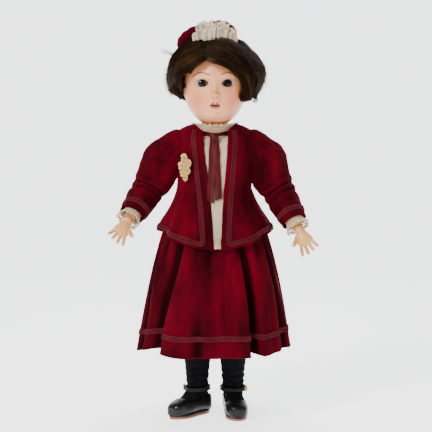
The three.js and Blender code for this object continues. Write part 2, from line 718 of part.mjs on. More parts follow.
function skirtSurface(u, v) {
  const [z, halfWidth, front, back] = skirtShape(v);
  const angle = u * TURN;
  const depth = skirtFolds.reduce((sum, [place, deep, width]) => {
    const away = Math.atan2(Math.sin(angle - place), Math.cos(angle - place));
    return sum + deep * bell(away, 0, width * mix(0.75, 1, v));
  }, 0);
  const shrink = 1 - (depth * ease(0.02, 0.9, v)) / halfWidth;
  return aroundAt(angle, z, halfWidth * shrink, front * shrink, back * shrink);
}

const PETTICOAT_RISE = 14;

function petticoatSurface(u, v) {
  const [, halfWidth, front, back] = skirtShape(v);
  const inset = mix(CLOTH + GAP, 25, ease(0, 1, v));
  const z = mix(WAIST_Z - 1.5, HEM_Z + PETTICOAT_RISE, v);
  const angle = u * TURN;
  const wave = 1 + 0.012 * v * Math.sin(9 * angle);
  return aroundAt(angle, z, (halfWidth - inset) * wave, (front - inset) * wave, (back - inset) * wave);
}

// Blouse front: a narrow panel between the jacket's edges, which hangs over the skirt
const BLOUSE_HALF_WIDTH = 23;
const UNDER_JACKET = CLOTH + GAP + 0.9;
const blouseShape = through([
  [0, NECK_EDGE_Z - 7, 30, 28.6],
  [0.05, SHOULDER_Z + 8, 46, 35.5],
  [0.12, SHOULDER_Z, 50 - UNDER_JACKET, 41.2 - UNDER_JACKET],
  [0.24, SHOULDER_Z - 16, 50 - UNDER_JACKET, 44 - UNDER_JACKET],
  [0.4, SHOULDER_Z - 40, 49 - UNDER_JACKET, 45 - UNDER_JACKET],
  [0.56, WAIST_Z, 54 - UNDER_JACKET, 46 - UNDER_JACKET],
  [0.72, WAIST_Z - 28, 67 - UNDER_JACKET, 60 - UNDER_JACKET],
  [0.9, JACKET_HEM_Z, JACKET_HEM_HALF_WIDTH - UNDER_JACKET, 77 - UNDER_JACKET],
  [1, JACKET_HEM_Z - 22, JACKET_HEM_HALF_WIDTH + 6, 80],
]);

function blouseSurface(u, v) {
  const [z, halfWidth, front] = blouseShape(v);
  const x = mix(-1, 1, u) * mix(BLOUSE_HALF_WIDTH, BLOUSE_HALF_WIDTH / 3, ease(0.3, 1, v)) + 3 * v;
  return vec(x, -front * Math.sqrt(1 - (x / halfWidth) ** 2), z);
}

// Neck: a gathered lace frill with a satin ribbon round its foot
const COLLAR_FOOT = 26.5;

function collarSurface(u, v) {
  const angle = u * TURN;
  const up = 1 - v;
  const z = mix(NECK_EDGE_Z - 5, NECK_Z - 0.6, up) + 2.4 * up * Math.sin(angle) ** 2;
  const ripple = 1.3 * ease(0.35, 1, up) * Math.sin(9 * angle);
  const radius = COLLAR_FOOT + 6.4 * ease(0.35, 1, up) ** 1.5 + ripple;
  return aroundAt(angle, z, radius, radius - 2.5 * up, radius);
}

const tailFront = through([[0, 40.5], [0.14, 43.5], [0.35, 47], [0.6, 48.4], [0.78, 49.8], [1, 58.5]]);

function ribbonGeometry() {
  const inner = COLLAR_FOOT + GAP + 0.6;
  const bandZ = NECK_EDGE_Z - 2.5;
  const band = [[inner, -2.6], [inner + 1.6, -2.6], [inner + 1.6, 2.6], [inner, 2.6]];
  const rings = band.map(([radius, rise]) => ring(bandZ + rise, radius, radius, radius, 16));
  const knotAt = vec(-1, -inner - 12.4, bandZ - 6);
  const knot = ball(4.6, vec(0, 0, 0), 10).scale(1.2, 0.7, 1.1).translate(knotAt.x, knotAt.y, knotAt.z);
  const neckLink = block(vec(-4, knotAt.y, bandZ - 2.6), vec(2.4, -inner - 0.6, bandZ + 1));
  const tails = [[-4.4, -5], [2.2, 4]].map(([start, end]) => sheetSolid((u, v) => {
    const z = knotAt.z + 2 - v * RIBBON_TAIL;
    const x = mix(start, end, v) + (u - 0.5) * RIBBON_WIDTH * mix(0.55, 1, ease(0, 0.3, v));
    const [front] = tailFront(v);
    return vec(x, -front, z);
  }, 0.8, 2, 7));
  return carve([ringSolid(rings, true), neckLink, knot, ...tails]);
}

// Brooch: a spray of small cloth flowers on the doll's right breast
const BROOCH_ANGLE = radians(-47);
const BROOCH_PLACE = 0.44;
const BROOCH_DEPTH = 1.6;

function broochGeometry() {
  const flowers = [[-1, 11.5, 6], [4, 2.5, 6.4], [-4.4, -1.5, 6.2], [1.4, -11, 5.4]];
  const backing = new THREE.SphereGeometry(1, 10, 5).scale(7.5, BROOCH_DEPTH, 16);
  const heads = flowers.map(([x, z, radius]) => {
    const head = new THREE.SphereGeometry(radius, 7, 4).scale(1, 0.62, 1);
    return head.translate(x, -1.4, z);
  });
  const spray = carve([backing, ...heads]);
  const [z, halfWidth, front, back] = jacketShape(BROOCH_PLACE);
  const at = aroundAt(BROOCH_ANGLE, z, halfWidth, front, back);
  const facing = Math.atan2(at.x / halfWidth ** 2, -at.y / front ** 2);
  const out = BROOCH_DEPTH + GAP + 0.7;
  spray.rotateZ(facing);
  return spray.translate(at.x + out * Math.sin(facing), at.y - out * Math.cos(facing), at.z);
}

// A large block whose top passes through a point and rises towards the front by an angle
function slantedBlock(at, slant) {
  const cutter = block(vec(-60, -60, -60), vec(60, 60, 0));
  return cutter.rotateX(-radians(slant)).translate(at.x, at.y, at.z);
}

// Arms, in the frame of the shoulder joint with the arm along -Z
function upperArmGeometry() {
  const skin = through([
    [0, UPPER_ARM_RADIUS - 1.6], [0.18, UPPER_ARM_RADIUS], [0.5, UPPER_ARM_RADIUS - 0.6],
    [0.86, ELBOW_BALL_RADIUS + 0.8], [1, ELBOW_BALL_RADIUS],
  ]);
  const [top, bottom] = [-5, -(UPPER_ARM_LENGTH - 5)];
  const rings = [0, 0.25, 0.6, 1].map((t) => {
    const [radius] = skin(t);
    return ring(mix(top, bottom, t), radius, radius, radius, 10);
  });
  const elbow = vec(0, 0, -UPPER_ARM_LENGTH);
  return carve([ringSolid(rings)], [
    socket(SHOULDER_BALL_RADIUS, vec(0, 0, 0), 12),
    socket(ELBOW_BALL_RADIUS, elbow, 10),
    bar(STRING_BORE_RADIUS, vec(0, 0, 0), elbow),
    slantedBlock(elbow.clone().add(vec(0, 0, 7)), 17),
  ]);
}

function shoulderBallGeometry(side, spread) {
  const along = vec(0, 0, -1).applyAxisAngle(vec(0, 1, 0), -side * radians(spread));
  const reach = SHOULDER_BALL_RADIUS + 4;
  return carve([ball(SHOULDER_BALL_RADIUS, vec(0, 0, 0), 12)], [
    bar(STRING_BORE_RADIUS, vec(0, 0, 0), vec(-side * reach, 0, 0)),
    bar(STRING_BORE_RADIUS, vec(0, 0, 0), along.multiplyScalar(reach)),
    ball(STRING_BORE_RADIUS, vec(0, 0, 0), 8),
  ]);
}

// Forearm, in the frame of the elbow joint
function forearmGeometry() {
  const skin = through([
    [0, ELBOW_BALL_RADIUS * 0.72], [0.24, FOREARM_RADIUS],
    [0.55, FOREARM_RADIUS - 1.4], [1, WRIST_BALL_RADIUS + 1],
  ]);
  const [top, bottom] = [-8, -(FOREARM_LENGTH - 3)];
  const rings = [0, 0.24, 0.6, 1].map((t) => {
    const [radius] = skin(t);
    return ring(mix(top, bottom, t), radius, radius, radius, 10);
  });
  return carve([ringSolid(rings), ball(ELBOW_BALL_RADIUS, vec(0, 0, 0), 10)], [
    socket(WRIST_BALL_RADIUS, vec(0, 0, -FOREARM_LENGTH), 10),
    bar(STRING_BORE_RADIUS - 0.8, vec(0, 0, -2), vec(0, 0, 20)),
    ...hookSlot(20),
  ]);
}

// Slot in a limb's ball: narrow where it grips the hook, wider above for the cord
function hookSlot(height) {
  const narrow = HOOK_WIRE_RADIUS + GAP;
  const wide = ELASTIC_RADIUS + 2 * GAP;
  return [
    block(vec(-narrow, -20, -5), vec(narrow, 20, height)),
    block(vec(-wide, -20, CORD_END - GAP), vec(wide, 20, height)),
  ];
}

// Hook set across the slot of a limb's ball: a bar with a round eye for the elastic
function hookGeometry(width) {
  const eye = [[-3.4, 0], [-2.2, -1.4], [0, -2], [2.2, -1.4], [3.4, 0]];
  const route = [[-width, 0], ...eye, [width, 0]].map(([y, z]) => vec(0, y, z));
  return strand(route, HOOK_WIRE_RADIUS, 8, 4);
}

// Sleeve: a gathered head, a full puff and a narrower forearm, along the bent arm
const SLEEVE_END = UPPER_ARM_LENGTH + FOREARM_LENGTH - 14;
const sleeveShape = through([
  [-18, 9.5, 0], [-9, 18.2, 0], [2, 21.5, 2.5], [16, 24.5, 8.6], [34, 25.5, 9], [54, 24, 4],
  [UPPER_ARM_LENGTH, 22.5, 1], [UPPER_ARM_LENGTH + 30, 20.5, 0], [SLEEVE_END, 17, 0],
]);

function sleeveLine(bend, reach) {
  const at = vec(0, 0, 0);
  const step = 1;
  let turned = 0;
  for (let s = 0; s < reach; s += step) {
    turned = radians(bend) * ease(UPPER_ARM_LENGTH - 16, UPPER_ARM_LENGTH + 16, s);
    const length = Math.min(step, reach - s);
    at.add(vec(0, -Math.sin(turned) * length, -Math.cos(turned) * length));
  }
  return { at: reach < 0 ? vec(0, 0, -reach) : at, turned };
}

function sleeveGeometry(side, bend, spread) {
  const reaches = [-18, -9, 2, 18, 36, 56, 70, 84, SLEEVE_END];
  const count = 14;
  const skin = (inset) => reaches.map((reach) => {
    const [radius, shift] = sleeveShape(reach);
    const { at, turned } = sleeveLine(bend, reach);
    return Array.from({ length: count }, (_, index) => {
      const angle = (index / count) * TURN;
      const gathers = 1 + 0.03 * Math.sin(angle * 4 + side) * bell(reach, 30, 34);
      const size = radius * gathers - inset;
      const flat = vec(size * Math.sin(angle) + side * shift, -size * Math.cos(angle), 0);
      return flat.applyAxisAngle(vec(1, 0, 0), -turned).add(at);
    });
  });
  const seam = SHOULDER_X - TORSO_HALF_WIDTH - 3.5;
  const [low, high] = side > 0 ? [-90, -seam] : [seam, 90];
  const armhole = block(vec(low, -60, -60), vec(high, 60, 60));
  armhole.rotateY(side * radians(spread));
  return carve([ringSolid([...skin(0), ...skin(CLOTH).reverse()], true)], [armhole]);
}

// Lace cuff at the sleeve's end, in the frame of the elbow joint
function cuffGeometry() {
  const surface = (u, v) => {
    const angle = u * TURN;
    const radius = mix(12.4, 17.5, v ** 1.6) + 1.1 * ease(0.4, 1, v) * Math.sin(6 * angle);
    return aroundAt(angle, -(FOREARM_LENGTH - 18) - v * CUFF_LENGTH, radius, radius, radius);
  };
  return sheetSolid(surface, LACE, 24, 1, true);
}

// Hand, in the frame of the wrist joint: back of the hand to the front, thumb towards the body
function fingerGeometry(base, direction, curl, length, radius) {
  const rings = [];
  const at = base.clone();
  const heading = direction.clone().normalize();
  const side = vec(0, 1, 0).cross(heading).normalize();
  const joints = 3;
  for (let index = 0; index <= joints; index += 1) {
    const t = index / joints;
    const up = heading.clone().cross(side);
    const size = radius * mix(1, 0.72, t) * (index === joints ? 0.5 : 1);
    rings.push(Array.from({ length: 5 }, (_, corner) => {
      const angle = (corner / 5) * TURN;
      const aside = at.clone().addScaledVector(side, size * Math.cos(angle));
      return aside.addScaledVector(up, size * Math.sin(angle));
    }));
    heading.applyAxisAngle(side, curl / joints);
    at.addScaledVector(heading, length / joints);
  }
  return ringSolid(rings);
}

function handGeometry(side) {
  const palmProfile = through([
    [0, 6.2, 5.4], [0.25, 8.6, 5.2], [0.7, PALM_WIDTH / 2, 4.8], [1, PALM_WIDTH / 2 - 1, 3.4],
  ]);
  const palmTop = -WRIST_BALL_RADIUS * 0.6;
  const palm = ringSolid([0, 0.35, 0.75, 1].map((t) => {
    const [halfWidth, depth] = palmProfile(t);
    return ring(palmTop - t * PALM_LENGTH, halfWidth, depth, depth, 10);
  }));
  const knuckleZ = palmTop - PALM_LENGTH + 2;
  const fingers = [-1.5, -0.5, 0.5, 1.5].map((place) => {
    const spread = vec(side * place * 0.17, 0.02, -1);
    const length = FINGER_LENGTH * (1 - 0.09 * Math.abs(place + 0.4));
    return fingerGeometry(vec(side * place * 5.4, 0, knuckleZ), spread, radians(38), length, FINGER_RADIUS);
  });
  const thumbBase = vec(-side * 8, 1, palmTop - 7);
  const thumbAlong = vec(-side * 0.75, 0.25, -0.8);
  const thumbLength = FINGER_LENGTH * 0.86;
  const thumb = fingerGeometry(thumbBase, thumbAlong, radians(20), thumbLength, FINGER_RADIUS * 1.15);
  return carve([ball(WRIST_BALL_RADIUS, vec(0, 0, 0), 8), palm, ...fingers, thumb]);
}

// Legs, in the frame of the hip joint with the leg along -Z
function thighGeometry() {
  const skin = through([
    [0, HIP_BALL_RADIUS * 0.8], [0.16, THIGH_RADIUS - 1.5], [0.4, THIGH_RADIUS - 0.6],
    [0.8, KNEE_BALL_RADIUS + 2.4], [1, KNEE_BALL_RADIUS + 0.6],
  ]);
  const [top, bottom] = [-10, -(THIGH_LENGTH - 6)];
  const hipSlot = STRING_BORE_RADIUS + 3;
  const rings = [0, 0.16, 0.4, 0.8, 1].map((t) => {
    const [radius] = skin(t);
    return ring(mix(top, bottom, t), radius, radius, radius, 10);
  });
  return carve([ringSolid(rings), ball(HIP_BALL_RADIUS, vec(0, 0, 0), 10)], [
    socket(KNEE_BALL_RADIUS, vec(0, 0, -THIGH_LENGTH), 10),
    slantedBlock(vec(0, 0, -THIGH_LENGTH + 9), -20),
    bar(STRING_BORE_RADIUS, vec(0, 0, -THIGH_LENGTH), vec(0, 0, HIP_BALL_RADIUS + 2)),
    block(vec(-hipSlot, -STRING_BORE_RADIUS, 2), vec(hipSlot, 12, HIP_BALL_RADIUS + 4)),
  ]);
}

// Lower leg and foot in the frame of the knee joint, grown by a layer for what is worn over it
const FOOT_BOTTOM = -(SHIN_LENGTH + FOOT_HEIGHT);
const TOE_Y = -(SHOE_LENGTH * 0.68);
const HEEL_Y = SHOE_LENGTH * 0.3;
const FOOT_SHELL = STOCKING + 2 * GAP + SHOE_LEATHER;
const footShape = through([
  [0, 6, 15], [0.1, 10.5, 27], [0.3, 11.5, 34], [0.46, 12, 29],
  [0.62, 13, 19], [0.82, 12.6, 13.5], [0.94, 9, 10.5], [1, 4.5, 7],
]);

function legGeometry(layer, top) {
  const skin = through([
    [0, KNEE_BALL_RADIUS - 2.2], [0.16, CALF_RADIUS - 1.4], [0.38, CALF_RADIUS],
    [0.7, ANKLE_RADIUS + 1.4], [1, ANKLE_RADIUS],
  ]);
  const low = FOOT_BOTTOM + 12;
  const levels = [0.06, 0.2, 0.42, 0.72, 1];
  const shin = ringSolid(levels.map((t) => {
    const [radius] = skin(t);
    const back = 2.2 * bell(t, 0.36, 0.22);
    return ring(mix(0, low, t), radius + layer, radius + layer, radius + back + layer, 10, [0, 1.5 * t]);
  }));
  const foot = ringSolid([0, 0.14, 0.42, 0.62, 0.84, 1].map((t) => {
    const [halfWidth, height] = footShape(t);
    const y = mix(HEEL_Y - FOOT_SHELL + layer, TOE_Y + FOOT_SHELL - layer, t);
    return Array.from({ length: 8 }, (_, index) => {
      const angle = (index / 8) * TURN;
      const lift = (Math.cos(angle) > 0 ? height + layer : 2 + layer) * Math.cos(angle);
      return vec((halfWidth + layer) * Math.sin(angle), y, FOOT_BOTTOM + 2 + FOOT_SHELL + lift);
    });
  }));
  return top === undefined ? [shin, foot] : [shin, foot, top];
}

function shinGeometry() {
  return carve([...legGeometry(0), ball(KNEE_BALL_RADIUS, vec(0, 0, 0), 10)], [
    ...hookSlot(24),
  ]);
}

// Stocking: knitted tube over the knee, wrinkled at the ankle
function stockingGeometry() {
  const inner = GAP;
  const outer = GAP + STOCKING;
  const tube = (layer) => {
    const stops = [STOCKING_TOP, 0, -30];
    return ringSolid(stops.map((z) => {
      const t = clamp((STOCKING_TOP - z) / 40);
      const radius = mix(KNEE_BALL_RADIUS + 3.1, CALF_RADIUS + 0.6, t) + layer;
      return ring(z, radius, radius, radius + 0.8, 10);
    }));
  };
  const wrinkles = ringSolid([0, 1, 2, 3, 4].map((step) => {
    const radius = ANKLE_RADIUS + outer + 1.1 + 0.9 * (step % 2);
    return ring(FOOT_BOTTOM + FOOT_HEIGHT + 22 - step * 4, radius, radius, radius, 10, [0, 1.2]);
  }));
  const mouth = block(vec(-40, -40, STOCKING_TOP - 0.5), vec(40, 40, STOCKING_TOP + 60));
  const hollow = ringSolid([STOCKING_TOP + 2, 0, -24].map((z) => {
    const t = clamp((STOCKING_TOP - z) / 40);
    const radius = mix(KNEE_BALL_RADIUS + 3.1, CALF_RADIUS + 0.6, t) + inner;
    return ring(z, radius, radius, radius + 0.8, 10);
  }));
  return carve([...legGeometry(outer, tube(outer)), wrinkles], [...legGeometry(inner), hollow, mouth]);
}

// Shoe: leather upper on the foot's own shape, cut open over the instep
function shoeUpperGeometry() {
  const inner = STOCKING + 2 * GAP;
  const outer = inner + SHOE_LEATHER;
  const body = carve(legGeometry(outer), legGeometry(inner));
  const low = FOOT_BOTTOM;
  const keep = block(vec(-40, -90, low - 1), vec(40, 60, low + 24));
  const throat = new THREE.CylinderGeometry(1, 1, 60, 12).rotateX(Math.PI / 2).scale(11, 23, 1);
  throat.translate(0, -6, low + 40);
  return carve([keepInside(body, keep)], [throat]);
}

function soleOutline() {
  const outline = new THREE.Shape();
  const half = SHOE_WIDTH / 2;
  const [toe, heel] = [-TOE_Y, -HEEL_Y];
  outline.moveTo(0, heel);
  outline.bezierCurveTo(half * 0.9, heel, half * 0.8, heel + 26, half * 0.72, heel + 32);
  outline.bezierCurveTo(half * 0.9, toe - 34, half * 1.35, toe, 0, toe);
  outline.bezierCurveTo(-half * 1.35, toe, -half * 0.9, toe - 34, -half * 0.72, heel + 32);
  outline.bezierCurveTo(-half * 0.8, heel + 26, -half * 0.9, heel, 0, heel);
  return outline;
}

function soleGeometry() {
  const depth = SOLE_THICKNESS - GAP;
  const plate = new THREE.ExtrudeGeometry(soleOutline(), { depth, curveSegments: 5, bevelEnabled: false });
  return plate.rotateX(Math.PI).translate(0, 0, FOOT_BOTTOM - GAP);
}

// Strap round the ankle and its small buckle
const STRAP_Z = FOOT_BOTTOM + FOOT_HEIGHT + 2;
const STRAP_RADIUS = ANKLE_RADIUS + STOCKING + 3.5 + GAP;

function strapGeometry() {
  const rise = STRAP_WIDTH / 2;
  const corners = [[0, -rise], [STRAP_THICKNESS, -rise], [STRAP_THICKNESS, rise], [0, rise]];
  const rings = corners.map(([out, up]) => {
    const radius = STRAP_RADIUS + out;
    return ring(STRAP_Z + up, radius, radius, radius, 16, [0, 1.2]);
  });
  return ringSolid(rings, true);
}

function buckleGeometry(side) {
  const corners = (x, y) => [[-x, -y], [x, -y], [x, y], [-x, y]].map((pair) => new THREE.Vector2(...pair));
  const frame = new THREE.Shape(corners(4.4, 4.6));
  frame.holes.push(new THREE.Path(corners(2.9, 3.2)));
  const bow = new THREE.ExtrudeGeometry(frame, { depth: 1, bevelEnabled: false });
  const prong = new THREE.BoxGeometry(1, 7.6, 0.9).translate(0, 0, 0.5);
  const around = radians(62);
  const buckle = carve([bow, prong]).rotateX(Math.PI / 2).rotateZ(side * around);
  const reach = STRAP_RADIUS + STRAP_THICKNESS + GAP;
  return buckle.translate(side * reach * Math.sin(around), 1.2 - reach * Math.cos(around), STRAP_Z);
}

// Elastic: one cord joins the arms through the body, one runs down each leg from the neck hook
function worldPoint(group, local) {
  group.updateWorldMatrix(true, false);
  return local.clone().applyMatrix4(group.matrixWorld);
}

function elasticGeometry(route, steps) {
  return strand(route, ELASTIC_RADIUS, steps);
}

// Assembly
const doll = new THREE.Group();
const head = new THREE.Group();
doll.add(head);
head.add(
  piece('bisque_head', headGeometry(), 'bisque'),
  piece('pate', pateGeometry(), 'pate'),
  piece('wig', wigGeometry(), 'hair'),
  piece('upper_teeth', teethGeometry(), 'enamel'),
  piece('hat_cap', carve([hatBlank(0)], [wigHull(2 * GAP + 0.6)]), 'velvet'),
  piece('hat_lace', hatLaceGeometry(), 'lace'),
  piece('eye_right', ball(EYE_RADIUS, eyeAt(-1), 14), 'glass'),
  piece('eye_left', ball(EYE_RADIUS, eyeAt(1), 14), 'glass'),
  piece('eye_rocker', rockerGeometry(), 'wire'),
  piece('eye_weight', weightGeometry(), 'lead'),
  piece('neck_button', neckButtonGeometry(), 'wood'),
  piece('neck_hook', neckHookGeometry(), 'wire'),
);
doll.add(
  piece('torso', torsoGeometry(), 'composition'),
  piece('jacket', jacketGeometry(), 'velvet'),
  piece('skirt', sheetSolid(skirtSurface, CLOTH, 52, 5, true), 'velvet'),
  piece('petticoat', sheetSolid(petticoatSurface, LACE, 24, 3, true), 'linen'),
  piece('blouse_front', sheetSolid(blouseSurface, LACE, 4, 10), 'linen'),
  piece('lace_collar', sheetSolid(collarSurface, LACE, 36, 2, true), 'lace'),
  piece('neck_ribbon', ribbonGeometry(), 'satin'),
  piece('brooch', broochGeometry(), 'petals'),
);

const SIDES = [
  { word: 'right', side: -1, spread: RIGHT_ARM_SPREAD, bend: RIGHT_ELBOW_BEND, toeOut: RIGHT_TOE_OUT },
  { word: 'left', side: 1, spread: LEFT_ARM_SPREAD, bend: LEFT_ELBOW_BEND, toeOut: LEFT_TOE_OUT },
];
const elbows = {};

SIDES.forEach(({ word, side, spread, bend, toeOut }) => {
  const shoulder = new THREE.Group();
  shoulder.position.copy(shoulderAt(side));
  shoulder.rotation.y = -side * radians(spread);
  doll.add(shoulder);
  const ballJoint = piece(`shoulder_ball_${word}`, shoulderBallGeometry(side, spread), 'wood');
  ballJoint.position.copy(shoulderAt(side));
  doll.add(ballJoint);
  const elbow = new THREE.Group();
  elbow.position.set(0, 0, -UPPER_ARM_LENGTH);
  elbow.rotation.x = -radians(bend);
  const wrist = new THREE.Group();
  wrist.position.set(0, 0, -FOREARM_LENGTH);
  wrist.rotation.x = radians(8);
  wrist.add(piece(`hand_${word}`, handGeometry(side), 'composition'));
  elbow.add(
    piece(`forearm_${word}`, forearmGeometry(), 'composition'),
    piece(`lace_cuff_${word}`, cuffGeometry(), 'lace'),
    piece(`elbow_hook_${word}`, hookGeometry(ELBOW_BALL_RADIUS - 2), 'wire'),
    wrist,
  );
  shoulder.add(
    piece(`upper_arm_${word}`, upperArmGeometry(), 'composition'),
    piece(`sleeve_${word}`, sleeveGeometry(side, bend, spread), 'velvet'),
    elbow,
  );
  elbows[word] = elbow;

  const hip = new THREE.Group();
  hip.position.copy(hipAt(side));
  hip.rotation.z = side * radians(toeOut);
  doll.add(hip);
  const knee = new THREE.Group();
  knee.position.set(0, 0, -THIGH_LENGTH);
  knee.add(
    piece(`shin_${word}`, shinGeometry(), 'composition'),
    piece(`knee_hook_${word}`, hookGeometry(KNEE_BALL_RADIUS - 2.5), 'wire'),
    piece(`stocking_${word}`, stockingGeometry(), 'knit'),
    piece(`shoe_upper_${word}`, shoeUpperGeometry(), 'leather'),
    piece(`shoe_sole_${word}`, soleGeometry(), 'soleLeather'),
    piece(`shoe_strap_${word}`, strapGeometry(), 'leather'),
    piece(`shoe_buckle_${word}`, buckleGeometry(side), 'brass'),
  );
  hip.add(piece(`thigh_${word}`, thighGeometry(), 'composition'), knee);

  const hookEnd = vec(side * 2.4, HOOK_WIRE_RADIUS + ELASTIC_RADIUS + GAP + 0.2, HOOK_BASE_Z + 6);
  const legRoute = [
    worldPoint(knee, vec(0, 0, CORD_END)),
    worldPoint(hip, vec(0, 0, -THIGH_LENGTH / 2)),
    hipAt(side),
    vec(side * (HIP_X - 6), 0, HIP_Z + 26), vec(side * 6, 3.4, HIP_Z + 90), hookEnd,
  ];
  doll.add(piece(`leg_elastic_${word}`, elasticGeometry(legRoute, 14), 'elastic'));
});

const armHalf = (word, side) => {
  const elbow = elbows[word];
  return [
    worldPoint(elbow, vec(0, 0, CORD_END)),
    worldPoint(elbow.parent, vec(0, 0, -UPPER_ARM_LENGTH * 0.5)),
    shoulderAt(side),
    vec(side * (SHOULDER_X - 22), 0, SHOULDER_Z), vec(side * 14, 7, SHOULDER_Z),
  ];
};
const armRoute = [...armHalf('right', -1), ...armHalf('left', 1).reverse()];
doll.add(piece('arm_elastic', elasticGeometry(armRoute, 22), 'elastic'));

export default doll;
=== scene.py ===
"""Finishes the dressed bisque-head doll: skin, glass eyes, hair, velvet, lace, knit and leather over its solids."""
import json
import math

import bmesh
import bpy
import numpy as np
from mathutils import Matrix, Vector

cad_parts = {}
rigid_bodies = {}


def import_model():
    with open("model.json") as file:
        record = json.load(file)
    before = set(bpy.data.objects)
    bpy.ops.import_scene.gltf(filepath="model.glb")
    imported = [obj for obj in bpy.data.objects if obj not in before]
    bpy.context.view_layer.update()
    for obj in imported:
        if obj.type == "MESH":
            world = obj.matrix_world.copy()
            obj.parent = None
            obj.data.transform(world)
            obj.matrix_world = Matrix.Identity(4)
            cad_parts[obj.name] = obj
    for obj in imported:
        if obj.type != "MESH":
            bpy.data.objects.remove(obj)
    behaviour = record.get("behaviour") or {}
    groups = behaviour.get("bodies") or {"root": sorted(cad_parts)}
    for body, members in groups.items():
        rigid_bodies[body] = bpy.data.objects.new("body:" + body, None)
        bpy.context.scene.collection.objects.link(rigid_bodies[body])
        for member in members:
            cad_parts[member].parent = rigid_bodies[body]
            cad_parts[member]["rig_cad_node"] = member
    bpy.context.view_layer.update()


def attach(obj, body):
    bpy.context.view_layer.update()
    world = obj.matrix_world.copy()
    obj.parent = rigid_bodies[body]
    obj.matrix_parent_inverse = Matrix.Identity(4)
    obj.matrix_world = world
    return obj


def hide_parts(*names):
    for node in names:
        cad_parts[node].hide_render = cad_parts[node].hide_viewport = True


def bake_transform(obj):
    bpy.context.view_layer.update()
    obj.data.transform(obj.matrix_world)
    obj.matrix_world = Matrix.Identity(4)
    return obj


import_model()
MM = 0.001
TURN = 2 * math.pi

# Places and sizes of the doll, in millimetres, as in its solids
CLOTH, GAP = 1.5, 0.3
KNEE_Z, HIP_Z, WAIST_Z = 158, 266, 326
SHOULDER_Z, NECK_Z, HIP_X, SHOULDER_X = 392, 424, 26.5, 57
UPPER_ARM, FOREARM = 76, 66
EYE_X, EYE_Y, EYE_Z, EYE_RADIUS = 18.5, -31, 481, 12
EYE_WIDE, EYE_HIGH, MOUTH_WIDE, MOUTH_HIGH, MOUTH_Z = 19, 11.5, 12, 3.4, 450
HEAD_WIDE, HEAD_DEEP, HEAD_CENTRE_Z, SKULL_TOP_Z, SKULL_Y, CROWN_Z = 91, 101, 487, 541, -2, 528
WIG_WIDE, WIG_DEEP, WIG_Z, HAIR_ON_CROWN = 139, 124, 492, 11
WIG_TOP_Z = SKULL_TOP_Z + HAIR_ON_CROWN
NECK_EDGE_Z, JACKET_HEM_Z, HEM_Z, COLLAR_FOOT = 414, 264, 98, 26.5
SLEEVE_END = UPPER_ARM + FOREARM - 14
CORD_RADIUS, CORD_END = 1.8, 0.7
SIDES = {
    "right": {"side": -1, "spread": 32.5, "bend": 42, "toe_out": 42},
    "left": {"side": 1, "spread": 28, "bend": 30, "toe_out": 8},
}


def mix(a, b, t):
    return a + (b - a) * t


def bell(t, centre, width):
    return np.exp(-(((t - centre) / width) ** 2))


def ease(low, high, t):
    s = np.clip((t - low) / (high - low), 0, 1)
    return s * s * (3 - 2 * s)


def xyz(x, y, z):
    """Points from their three coordinates; a single number serves all of them."""
    return np.stack(np.broadcast_arrays(x, y, z), -1)


def unit(vectors):
    return vectors / np.linalg.norm(vectors, axis=-1, keepdims=True)


def round_angles(count):
    return np.arange(count) / count * TURN


def signed_angle(angle):
    """The same angle between half a turn back and half a turn on."""
    return np.arctan2(np.sin(angle), np.cos(angle))


def swollen(wave, power):
    """A sine or cosine raised to a power with its sign kept: a low power gives a squarer outline."""
    return np.sign(wave) * np.abs(wave) ** power


def through(knots):
    """A smooth curve through knots, each a position and the values there; it takes arrays of positions."""
    table = np.array(knots, float)
    places, values = table[:, 0], table[:, 1:]
    before = np.maximum(np.arange(len(places)) - 1, 0)
    after = np.minimum(np.arange(len(places)) + 1, len(places) - 1)
    slopes = (values[after] - values[before]) / (places[after] - places[before])[:, None]

    def curve(position):
        position = np.asarray(position, float)
        index = np.clip(np.searchsorted(places, position, side="left") - 1, 0, len(places) - 2)
        span = places[index + 1] - places[index]
        t = np.clip((position - places[index]) / span, 0, 1)[..., None]
        step = span[..., None]
        low, high = values[index], values[index + 1]
        result = low * (1 + 2 * t) * (1 - t) ** 2 + slopes[index] * step * t * (1 - t) ** 2
        result += high * t * t * (3 - 2 * t) + slopes[index + 1] * step * t * t * (t - 1)
        return np.moveaxis(result, -1, 0)

    return curve


def around(angle, z, half_width, front, back):
    """Points at an angle from the front, where a quarter turn is the doll's left side."""
    depth = np.where(np.cos(angle) > 0, front, back)
    return xyz(half_width * np.sin(angle), -depth * np.cos(angle), z)


def noise(seed, *axes, rough=3):
    """A smooth, seeded unevenness between about -1 and 1 over one to three axes."""
    draw = np.random.default_rng(seed)
    total = 0.0
    for octave in range(rough):
        for _ in range(5):
            turns = draw.normal(size=len(axes)) * 1.6 ** octave
            wave = np.sin(sum(a * w for a, w in zip(axes, turns)) * 2 + draw.uniform(0, TURN))
            total = total + wave / 1.5 ** octave
    return total / 5.5


# Meshes
def new_piece(name, points, faces, material):
    mesh = bpy.data.meshes.new(name)
    points = np.asarray(points, float).reshape(-1, 3) * MM
    mesh.from_pydata(points.tolist(), [], faces)
    mesh.validate()
    mesh.polygons.foreach_set("use_smooth", [True] * len(mesh.polygons))
    mesh.materials.append(material)
    return shown(name, mesh)


def shown(name, content):
    """Adds an object of a mesh, lamp or camera to the scene."""
    holder = bpy.data.objects.new(name, content)
    bpy.context.scene.collection.objects.link(holder)
    return holder


def get_points(piece):
    """A piece's points, in millimetres."""
    flat = np.empty(len(piece.data.vertices) * 3)
    piece.data.vertices.foreach_get("co", flat)
    return flat.reshape(-1, 3) / MM


def move_points(piece, place):
    """Moves a piece's points from a joint's frame to the doll's."""
    piece.data.vertices.foreach_set("co", (placed(get_points(piece), place) * MM).ravel())


